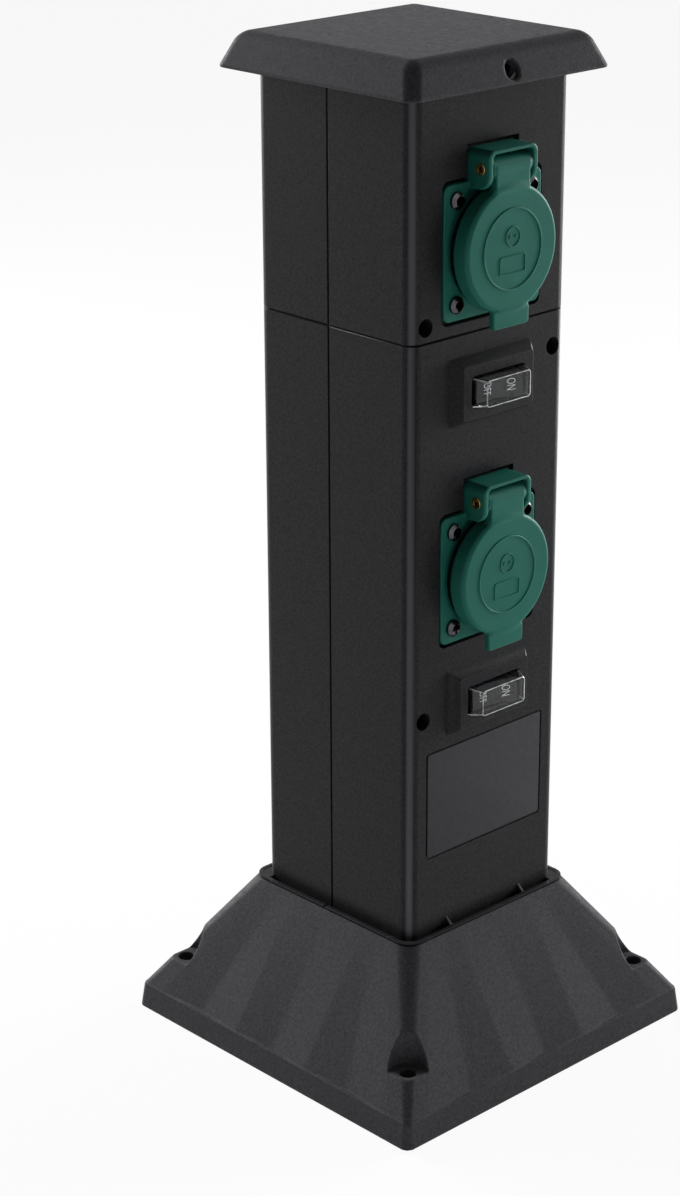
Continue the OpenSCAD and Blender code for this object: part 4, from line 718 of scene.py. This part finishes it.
FLANGE_T = 2.0
FLANGE_PROUD = 0.4  # how far it stands out of the column's face
FLANGE_R = 3.0
FLANGE_BACK = FLANGE_PROUD - FLANGE_T
FLANGE_SCREW = 19.0  # half the pitch of the socket screws
FLANGE_SCREW_R = 1.9
COLLAR_HOLE_R = 21.5  # opening for the insert's collar
HOOD_HALF = 12.6
HOOD_R = 3.0
HOOD_RISE = 6.8  # roof above the hinge's axis
HOOD_TOP = HINGE_UP + HOOD_RISE
ROOF_T = 1.4
CHEEK_T = 2.2
CHEEK_R = 5.0
CHEEK_DROP = 7.4  # cheeks' lower ends below the hinge's axis
CHEEK_LOW = HINGE_UP - CHEEK_DROP
CHEEK_HOLE_R = 1.65  # seat of the hinge pin
HOOD_IN = HOOD_HALF - CHEEK_T
BARREL_R = 4.1
LID_FRONT = HINGE_OUT + BARREL_R
SPRING_R = 2.4
SPRING_WIRE = 0.9
SPRING_PITCH = 1.4
SPRING_TURNS = 4.5
SPRING_HALF = SPRING_TURNS * SPRING_PITCH / 2
LUG_HALF = 1.6  # lug under the spring's foot
LUG_UP = (24.3, 25.7)
LUG_OUT = 5.2
SOCKET_CELL = 0.45


def frame_shape(x, up, out):
    """A socket frame: flange, hollow hood, the lug that the spring's foot rests on, and the holes."""
    ax = np.abs(x)
    flange = meet([ax - FLANGE_HALF, np.abs(up) - FLANGE_HALF], FLANGE_R)
    flange = meet([flange, between(out, FLANGE_BACK, FLANGE_PROUD)], r=0.35)
    front_view = meet([ax - HOOD_HALF, up - HOOD_TOP], HOOD_R)
    side_view = meet([CHEEK_LOW - up, out - LID_FRONT], CHEEK_R)
    hood = meet([meet([front_view, side_view], r=0.7), FLANGE_BACK - out], r=0.3)
    room = meet([ax - HOOD_IN, up - HOOD_TOP + ROOF_T], HOOD_R - ROOF_T)
    room = meet([room, FLANGE_PROUD - out], r=0.4)
    lug = meet([between(x, -SPRING_HALF - LUG_HALF, -SPRING_HALF + LUG_HALF), between(up, *LUG_UP),
                between(out, FLANGE_BACK, LUG_OUT)], r=0.3)
    solid = join(join(flange, cut(hood, room, blend=0.6), blend=0.5), lug, blend=0.4)
    solid = cut(solid, np.hypot(x, up) - COLLAR_HOLE_R, blend=0.4)
    solid = cut(solid, np.hypot(ax - FLANGE_SCREW, np.abs(up) - FLANGE_SCREW) - FLANGE_SCREW_R, blend=0.3)
    return cut(solid, np.hypot(up - HINGE_UP, out - HINGE_OUT) - CHEEK_HOLE_R, blend=0.3)


# The lids: a disc with a skirt, a finger tab, and an arm that ends in the hinge barrel

LID_BACK = 3.5  # the skirt's rear edge, from the column's face
LID_T = 2.0
LID_WALL = 1.5
LID_EDGE_R = 1.6
TAB_HALF = 9.3
TAB_DOWN = 28.8
TAB_T = 2.4
TAB_R = 1.5
ARM_HALF = 8.7
ARM_T = 3.2
ARM_PAST = 1.0  # how far the arm goes past the hinge's axis
BARREL_GAP = 0.3  # between the barrel and a cheek
BARREL_HALF = HOOD_IN - BARREL_GAP
PIN_HOLE_R = 1.68
COIL_ROOM_HALF = 3.9  # room for the coil, in the middle of the barrel
COIL_ROOM_R = 3.25
COIL_ROOM_PAST = 1.0  # the room's open rear, beyond the barrel
COIL_ROOM_BACK = 0.5  # the open rear starts this far behind the hinge's axis


def lid_shape(x, up, out):
    """A lid: hollow disc, tab, arm and barrel, with the pin's hole and room for the spring's coil."""
    ax = np.abs(x)
    radial = np.hypot(x, up)
    disc = meet([radial - LID_R, out - LID_FRONT], LID_EDGE_R)
    disc = meet([disc, LID_BACK - out], r=0.4)
    hollow = meet([radial - LID_R + LID_WALL, out - LID_FRONT + LID_T], r=0.6)
    tab = meet([meet([ax - TAB_HALF, -TAB_DOWN - up], TAB_R), up + LID_R - LID_WALL,
                between(out, LID_FRONT - TAB_T, LID_FRONT)], r=0.6)
    arm = meet([ax - ARM_HALF, between(up, LID_R - LID_WALL, HINGE_UP + ARM_PAST),
                between(out, LID_FRONT - ARM_T, LID_FRONT)], r=0.5)
    turn = np.hypot(up - HINGE_UP, out - HINGE_OUT)
    barrel = meet([turn - BARREL_R, ax - BARREL_HALF], r=0.5)
    arm = join(arm, barrel, blend=0.8)
    solid = join(join(cut(disc, hollow, blend=0.5), tab, blend=1.6), arm, blend=2.2)
    solid = cut(solid, turn - PIN_HOLE_R, blend=0.2)
    behind = meet([np.abs(up - HINGE_UP) - BARREL_R - COIL_ROOM_PAST,
                   out - HINGE_OUT + COIL_ROOM_BACK], r=0.1)
    room = np.minimum(turn - COIL_ROOM_R, behind)
    return cut(solid, meet([room, ax - COIL_ROOM_HALF], r=0.2), blend=0.3)


RING_R = 14.85
RING_W = 0.9
RING_H = 0.4
SIGN_R = 3.6
SIGN_UP = 4.6
DOT_R = 0.42
DOT_W = 0.7
DOT_OFF = 1.5
PLATE_W = 13.0
PLATE_H = 6.4
PLATE_R = 0.8
PLATE_UP = -5.6
LINE_W = 0.55
LINE_H = 0.32


def lid_marks():
    """Raised lines on a lid: the ring, a plain socket sign and an empty data plate, with their names."""
    yield "ring", raised_band("lid_ring", circle(RING_R, steps=96), RING_W, RING_H, LID_FRONT)
    yield "sign", raised_band("lid_sign", circle(SIGN_R, y=SIGN_UP), LINE_W, LINE_H, LID_FRONT)
    for side, x in (("left", -DOT_OFF), ("right", DOT_OFF)):
        dot = circle(DOT_R, x, SIGN_UP, steps=16)
        yield "sign_" + side, raised_band("lid_dot", dot, DOT_W, LINE_H, LID_FRONT)
    outline = [(x, y + PLATE_UP) for x, y, _ in round_rect(PLATE_W, PLATE_H, PLATE_R, 0)]
    yield "plate", raised_band("lid_plate", outline, LINE_W, LINE_H, LID_FRONT)


# The clear covers over the switches

PLINTH_OUT = 4.5
PLINTH_BACK = 2.0
RIM = (31.6, 15.6)
COVER_BACK = 1.0
COVER = (27.6, 11.6)
COVER_FRONT = (23.0, 10.2)
COVER_OUT = 9.8
COVER_WALL = 0.8
COVER_R = 1.4
# Radius of the front's edge, its steps, and how much wider the front is where the edge starts
COVER_EASE = 0.45
COVER_EASE_STEPS = 3
COVER_LEAN = 0.3
# Radius of the beads that carry the edges' painted highlight, and how far they are set in, as shares of it
BEAD_R = 0.22
BEAD_STEPS = 8
BEAD_FRONT_IN = 0.9
BEAD_CORNER_IN = 0.6


def cover_mesh():
    """A clear boot: a flat rim, a wall that leans in, and a front with eased edges, all hollow."""
    rings = [round_rect(*RIM, COVER_R, z) for z in (COVER_BACK, PLINTH_BACK)]
    rings += [round_rect(*COVER, COVER_R, z) for z in (PLINTH_BACK, PLINTH_OUT)]
    for step in range(COVER_EASE_STEPS + 1):
        a = math.pi / 2 * step / COVER_EASE_STEPS
        off = 2 * COVER_EASE * (1 - math.cos(a))
        lean = COVER_EASE * (1 - math.sin(a)) * COVER_LEAN
        size = [v - off + lean for v in COVER_FRONT]
        out = COVER_OUT - COVER_EASE + COVER_EASE * math.sin(a)
        rings.append(round_rect(*size, COVER_R - off / 2, out))
    inner_r = COVER_R - COVER_WALL
    inside = [(COVER, COVER_BACK), (COVER, PLINTH_OUT), (COVER_FRONT, COVER_OUT - COVER_WALL)]
    hollow = [round_rect(*[v - 2 * COVER_WALL for v in size], inner_r, z) for size, z in inside]
    return lofted("switch_cover", hollow[::-1] + rings)


def edge_beads():
    """Beads that carry the cover's painted edge highlight: one round the front, and one down each corner to
    the plinth.
    """
    turns = [2 * math.pi * i / BEAD_STEPS for i in range(BEAD_STEPS)]
    middle = COVER_OUT - BEAD_R
    rings = []
    for a in turns:
        off = 2 * BEAD_R * (math.cos(a) - BEAD_FRONT_IN)
        size = [v + off for v in COVER_FRONT]
        rings.append(round_rect(*size, COVER_R + off / 2, middle + BEAD_R * math.sin(a)))
    beads = [lofted("bead", rings[::-1], closed=True)]
    inset = COVER_R * (1 - math.sqrt(0.5)) + BEAD_R * BEAD_CORNER_IN
    for sx, sy in CORNERS:
        ends = []
        for size, z in ((COVER, PLINTH_OUT), (COVER_FRONT, middle)):
            x, y = (sign * (v / 2 - inset) for sign, v in zip((sx, sy), size))
            ends.append([(x + BEAD_R * math.cos(a), y + BEAD_R * math.sin(a), z) for a in turns])
        beads.append(lofted("bead", ends))
    work = bmesh.new()
    for bead in beads:
        work.from_mesh(bead)
    whole = bpy.data.meshes.new("cover_beads")
    work.to_mesh(whole)
    work.free()
    return whole


# Lettering on the rockers, in Blender's own plain typeface

ROCKER_UP = 6.1  # the rocker's face above its axle
ROCKER_L = 10.6  # length of each half
ROCKER_TILT = math.radians(8)  # slope of each half, and the rocker's lean at rest
LETTER_H = 3.7
LETTER_NARROW = 0.55  # width as a share of the typeface's own
LETTER_THIN = 0.06  # how much thinner the strokes are on each side
LETTER_T = 0.05
LETTER_LIFT = 0.03
CAPITAL_SHARE = 0.7  # a capital's height as a share of the text size


def letters(word, half):
    """A word turned a quarter, on the rocker's right (1) or left (-1) half, and its matrix at the switch."""
    text = bpy.data.curves.new("letters", "FONT")
    text.body = word
    text.size = LETTER_H * MM / CAPITAL_SHARE
    text.align_x = "CENTER"
    text.align_y = "CENTER"
    text.offset = -LETTER_THIN * MM
    text.extrude = LETTER_T * MM
    holder = in_scene("letters", text)
    shown = holder.evaluated_get(bpy.context.evaluated_depsgraph_get())
    mesh = bpy.data.meshes.new_from_object(shown)
    bpy.data.objects.remove(holder)
    mesh.transform(Matrix.Diagonal((LETTER_NARROW, 1, 1, 1)))
    tilt = ROCKER_TILT * half
    rise = abs(math.tan(tilt)) * ROCKER_L / 2
    at = Vector((half * ROCKER_L / 2, 0, ROCKER_UP + rise + LETTER_LIFT)) * MM
    on_half = Matrix.Translation(at) @ Matrix.Rotation(-tilt, 4, "Y") @ Matrix.Rotation(-math.pi / 2, 4, "Z")
    rest = Matrix.Translation((0, 0, AXLE_OUT * MM)) @ Matrix.Rotation(-ROCKER_TILT, 4, "Y")
    return mesh, rest @ on_half


# The lid springs as smooth wire

# Places down from the hinge's axis, along the leg in the frame and the leg on the lid
SPRING_FOOT = (5.5, 3, 1)
SPRING_LEG = (0, 2, 4, 7)
COIL_STEPS = 24
WIRE_ROUND = 3


def wire(name, points):
    """A curve of round spring wire along points."""
    curve = bpy.data.curves.new(name, "CURVE")
    curve.dimensions = "3D"
    curve.bevel_depth = SPRING_WIRE / 2 * MM
    curve.bevel_resolution = WIRE_ROUND
    curve.use_fill_caps = True
    spline = curve.splines.new("POLY")
    spline.points.add(len(points) - 1)
    for point, (x, up, out) in zip(spline.points, points):
        point.co = (x * MM, up * MM, out * MM, 1)
    return curve


def coil_point(turn):
    """A place on the coil, counted in turns from its left end."""
    a = math.pi - 2 * math.pi * turn
    x = -SPRING_HALF + SPRING_PITCH * turn
    return (x, HINGE_UP + SPRING_R * math.sin(a), HINGE_OUT + SPRING_R * math.cos(a))


def lid_spring(level):
    """Fixed leg and coil on the post, and the leg that goes with the lid."""
    at_socket = on_face(socket_z(level))
    coil = [coil_point(i / COIL_STEPS) for i in range(int(SPRING_TURNS * COIL_STEPS) + 1)]
    foot = [(-SPRING_HALF, HINGE_UP - down, HINGE_OUT - SPRING_R) for down in SPRING_FOOT]
    leg = [(SPRING_HALF, HINGE_UP - down, HINGE_OUT + SPRING_R) for down in SPRING_LEG]
    name = level + "_spring_coil"
    placed(name, wire(name, foot + coil), "post", "steel", at_socket, [level + "_lid_spring"])
    name = level + "_spring_leg"
    placed(name, wire(name, leg), level + "_lid", "steel", at_socket)


# Small plates that close the foot's channel at three of its corners; the near corner is open

LIP_UP = 4.3  # the lip's top above the foot's underside
CLOSER_IN = 1.75  # the plates' outer edge, in from the foot's
CLOSER_R = 5.2
CLOSER_END = 36.5  # where the plates end along each side
CLOSER_DEEP = 2.4
CLOSER_SUNK = 0.2  # below the lip's top
CLOSER_EASE = 0.15
CLOSER_HALF = FOOT_HALF - CLOSER_IN
CLOSER_TOP = FOOT_Z + LIP_UP - CLOSER_SUNK


def corner_plate(sx, sy):
    """An angled plate round the column's corner, just inside the lip."""
    outer = [(CLOSER_HALF, CLOSER_END), *corner_arc(CLOSER_HALF, CLOSER_R), (CLOSER_END, CLOSER_HALF)]
    inner = [(POST_HALF, CLOSER_END), *corner_arc(POST_HALF, POST_R), (CLOSER_END, POST_HALF)]
    outline = [(sx * x, sy * y) for x, y in outer + inner[::-1]]
    if sx * sy < 0:
        outline.reverse()
    heights = (CLOSER_TOP - CLOSER_DEEP, CLOSER_TOP)
    mesh = lofted("foot_corner", [[(x, y, z) for x, y in outline] for z in heights])
    work = bmesh.new()
    work.from_mesh(mesh)
    middle = sum(heights) / 2 * MM
    high = [e for e in work.edges if all(v.co.z > middle for v in e.verts)]
    bmesh.ops.bevel(work, geom=high, offset=CLOSER_EASE * MM, segments=2, affect="EDGES")
    work.to_mesh(mesh)
    work.free()
    return mesh


for place, sx, sy in (("rear_left", -1, 1), ("rear_right", 1, 1), ("front_right", 1, -1)):
    placed("foot_corner_" + place, corner_plate(sx, sy), "post", "black_plastic")

# The bare label panel

LABEL = (62.0, 42.9)
LABEL_R = 0.8
LABEL_Z = 114.25
# Inset and height of each ring, from the back to the front
LABEL_RINGS = ((0, -0.4), (0, 0.02), (0.06, 0.08), (0.2, 0.1))


def label_mesh():
    """A thin plate with a soft edge that fills the inside of the label's groove."""
    w, h = LABEL
    return lofted("label_plate", [round_rect(w - 2 * inset, h - 2 * inset, LABEL_R - inset, z)
                                  for inset, z in LABEL_RINGS])


placed("label_plate", label_mesh(), "post", "black_plastic", on_face(LABEL_Z), material=label_film())

# Carried-over pieces with their outer edges eased

SHELLS = ("lower_front_shell", "lower_rear_shell", "upper_front_shell", "upper_rear_shell")
SHELL_EASE = 0.22
LONG_SCREWS = ("cap_screws", "shell_screws")
LONG_SCREW_EASE = 0.2
LEVEL_EASES = {"socket_screws": 0.08, "hinge_pin": 0.15, "rocker": 0.4, "switch_body": 0.3}
SAME_POINT = 0.002  # points this close are merged
FLAT_ANGLE = math.radians(0.6)  # faces this flat are merged
EASED_ANGLE = math.radians(38)  # edges sharper than this are eased
SHARP_ANGLE = math.radians(32)  # edges sharper than this are shaded sharp
OUTSIDE_T = 0.2  # what lies this close to the column's faces is on its outside


def eased(node, width, keep):
    """A copy of a CAD node with its outer edges rounded. keep says which edge middles (mm) are eased."""
    mesh = NODES[node].data.copy()
    mesh.name = node + "_eased"
    work = bmesh.new()
    work.from_mesh(mesh)
    bmesh.ops.remove_doubles(work, verts=work.verts, dist=SAME_POINT * MM)
    bmesh.ops.dissolve_limit(work, angle_limit=FLAT_ANGLE, verts=work.verts, edges=work.edges)
    edges = []
    for edge in work.edges:
        if len(edge.link_faces) != 2 or not edge.is_convex:
            continue
        middle = (edge.verts[0].co + edge.verts[1].co) / 2 / MM
        if edge.calc_face_angle() > EASED_ANGLE and keep(middle):
            edges.append(edge)
    bmesh.ops.bevel(work, geom=edges, offset=width * MM, segments=2, profile=0.5, affect="EDGES",
                    offset_type="OFFSET", clamp_overlap=False)
    for face in work.faces:
        face.smooth = True
    if "custom_normal" in mesh.attributes:
        mesh.attributes.remove(mesh.attributes["custom_normal"])
    work.to_mesh(mesh)
    work.free()
    mesh.set_sharp_from_angle(angle=SHARP_ANGLE)
    piece = placed(node + "_eased", mesh, BODY_OF[node], SLOT_OF[node], replaces=[node])
    weighted = piece.modifiers.new("weighted", "WEIGHTED_NORMAL")
    weighted.keep_sharp = True


def on_outside(p):
    """Whether a place lies on the column's outside."""
    return max(abs(p.x), abs(p.y)) > POST_HALF - OUTSIDE_T


def everywhere(p):
    """Every place."""
    return True


for shell in SHELLS:
    eased(shell, SHELL_EASE, on_outside)
for screws in LONG_SCREWS:
    eased(screws, LONG_SCREW_EASE, everywhere)

# The sockets and switches, upper and lower

socket_frame_mesh = moulded("socket_frame", frame_shape, (-FLANGE_HALF, -FLANGE_HALF, FLANGE_BACK),
                            (FLANGE_HALF, HOOD_TOP, LID_FRONT), SOCKET_CELL)
lid_mesh = moulded("socket_lid", lid_shape, (-LID_R, -TAB_DOWN, HINGE_OUT - BARREL_R),
                   (LID_R, HINGE_UP + BARREL_R, LID_FRONT), SOCKET_CELL)

for level in LEVELS:
    lid, rocker = level + "_lid", level + "_rocker"
    at_socket = on_face(socket_z(level))
    at_switch = on_face(switch_z(level))
    placed(level + "_frame_moulding", socket_frame_mesh.copy(), "post", "green_plastic", at_socket,
           [level + "_socket_frame"])
    placed(level + "_lid_moulding", lid_mesh.copy(), lid, "green_plastic", at_socket, [lid])
    for name, mesh in lid_marks():
        placed(f"{level}_lid_{name}", mesh, lid, "green_plastic", at_socket)
    placed(level + "_cover_moulding", cover_mesh(), "post", "clear_plastic", at_switch,
           [level + "_switch_cover"])
    # beads with a painted highlight along the cover's edges
    placed(level + "_cover_edge_highlights", edge_beads(), "post", "clear_plastic", at_switch, material=EDGE_HIGHLIGHT)
    for word, half in (("ON", 1), ("OFF", -1)):
        mesh, on_rocker = letters(word, half)
        placed(f"{level}_letters_{word.lower()}", mesh, rocker, matrix=at_switch @ on_rocker, material=PRINT)
    lid_spring(level)
    for part, width in LEVEL_EASES.items():
        eased(f"{level}_{part}", width, everywhere)

# The other CAD nodes stay as they are and get their finishes

for name, node in NODES.items():
    if node.hide_render:
        continue
    node.data.materials.clear()
    node.data.materials.append(FINISHES[SLOT_OF[name]])

# Camera, taken from the photograph's 680 x 1196 frame

FRAME_PX = 1196
FOCAL_PX = 2799
SENSOR = 36
CLIP = (0.05, 20)  # nearest and farthest sight, in metres
CAMERA_AT = (-716.7, -722.2, 570.0)
AZIMUTH, ELEVATION, ROLL = (math.radians(a) for a in (-43.228, 20.960, -0.309))

camera = in_scene("camera", bpy.data.cameras.new("camera"))
camera.data.sensor_width = SENSOR
camera.data.lens = FOCAL_PX / FRAME_PX * SENSOR
camera.data.clip_start, camera.data.clip_end = CLIP
tilted = Matrix.Rotation(math.pi / 2 - ELEVATION, 4, "X") @ Matrix.Rotation(ROLL, 4, "Z")
turned = Matrix.Rotation(AZIMUTH, 4, "Z") @ tilted
camera.matrix_world = Matrix.Translation(Vector(CAMERA_AT) * MM) @ turned
bpy.context.scene.camera = camera

# Stage, in metres: a white floor and surroundings, and soft lamps

FLOOR_HALF = 6.0
FLOOR_DROP = 0.0002
FLOOR_COLOUR = (0.9, 0.9, 0.9, 1)
FLOOR_KEEPS_SHADOW = 0.07
WORLD_COLOUR = (1, 1, 1, 1)
WORLD_LIGHT = 0.05
WORLD_SEEN = 1.0


def looking(tree):
    """1 for rays that look at the stage from the camera, a gloss or a clear piece, and 0 for light."""
    path = tree.nodes.new("ShaderNodeLightPath")
    total = path.outputs["Is Camera Ray"]
    for name in ("Is Glossy Ray", "Is Transmission Ray"):
        largest = tree.nodes.new("ShaderNodeMath")
        largest.operation = "MAXIMUM"
        tree.links.new(total, largest.inputs[0])
        tree.links.new(path.outputs[name], largest.inputs[1])
        total = largest.outputs[0]
    return total


def end_tree(tree, output, lit, seen):
    """Ends a shader tree: lit is for rays that carry light, seen for rays that look at the stage."""
    choose = tree.nodes.new("ShaderNodeMixShader")
    tree.links.new(looking(tree), choose.inputs["Fac"])
    tree.links.new(lit.outputs[0], choose.inputs[1])
    tree.links.new(seen.outputs[0], choose.inputs[2])
    tree.links.new(choose.outputs[0], tree.nodes.new(output).inputs["Surface"])


def floor_paint():
    """Pale matt paint that looks white and keeps a share of the shadows."""
    paint = bpy.data.materials.new("floor")
    paint.use_nodes = True
    tree = paint.node_tree
    tree.nodes.clear()
    matt = tree.nodes.new("ShaderNodeBsdfDiffuse")
    matt.inputs["Color"].default_value = FLOOR_COLOUR
    glow = tree.nodes.new("ShaderNodeEmission")
    shadowed = tree.nodes.new("ShaderNodeMixShader")
    shadowed.inputs["Fac"].default_value = FLOOR_KEEPS_SHADOW
    tree.links.new(glow.outputs[0], shadowed.inputs[1])
    tree.links.new(matt.outputs[0], shadowed.inputs[2])
    end_tree(tree, "ShaderNodeOutputMaterial", matt, shadowed)
    return paint


def studio():
    """A world that looks white and gives a little light."""
    world = bpy.data.worlds.new("studio")
    world.use_nodes = True
    tree = world.node_tree
    tree.nodes.clear()
    backgrounds = []
    for strength in (WORLD_LIGHT, WORLD_SEEN):
        background = tree.nodes.new("ShaderNodeBackground")
        background.inputs["Color"].default_value = WORLD_COLOUR
        background.inputs["Strength"].default_value = strength
        backgrounds.append(background)
    end_tree(tree, "ShaderNodeOutputWorld", *backgrounds)
    return world


def lamp(name, at, towards, size, power):
    """A soft square lamp that looks at a place, in metres and watts."""
    light = bpy.data.lights.new(name, "AREA")
    light.energy = power
    light.size = size
    holder = in_scene(name, light)
    holder.location = at
    holder.rotation_mode = "QUATERNION"
    holder.rotation_quaternion = (Vector(towards) - Vector(at)).to_track_quat("-Z", "Y")


floor_mesh = bpy.data.meshes.new("floor")
floor_corners = [(sx * FLOOR_HALF, sy * FLOOR_HALF, -FLOOR_DROP) for sx, sy in CORNERS]
floor_mesh.from_pydata(floor_corners, [], [(0, 1, 2, 3)])
floor_mesh.materials.append(floor_paint())
floor = in_scene("floor", floor_mesh)

bpy.context.scene.world = studio()

lamp("front_lamp", at=(-0.08, -0.75, 0.08), towards=(0, 0, 0.25), size=0.12, power=0.4)
lamp("rear_lamp", at=(-0.2, 1.3, 0.5), towards=(0, 0, 0.2), size=0.6, power=23)
lamp("high_lamp", at=(-0.2, 1.1, 1.1), towards=(0, 0, 0.2), size=0.7, power=5)
lamp("right_lamp", at=(1.28, -0.2, 0.5), towards=(0, 0, 0.2), size=0.6, power=19)
lamp("low_lamp", at=(0.7, -0.2, 0.12), towards=(0, -0.04, 0.1), size=0.25, power=1.0)

bpy.context.scene.view_settings.view_transform = "Standard"
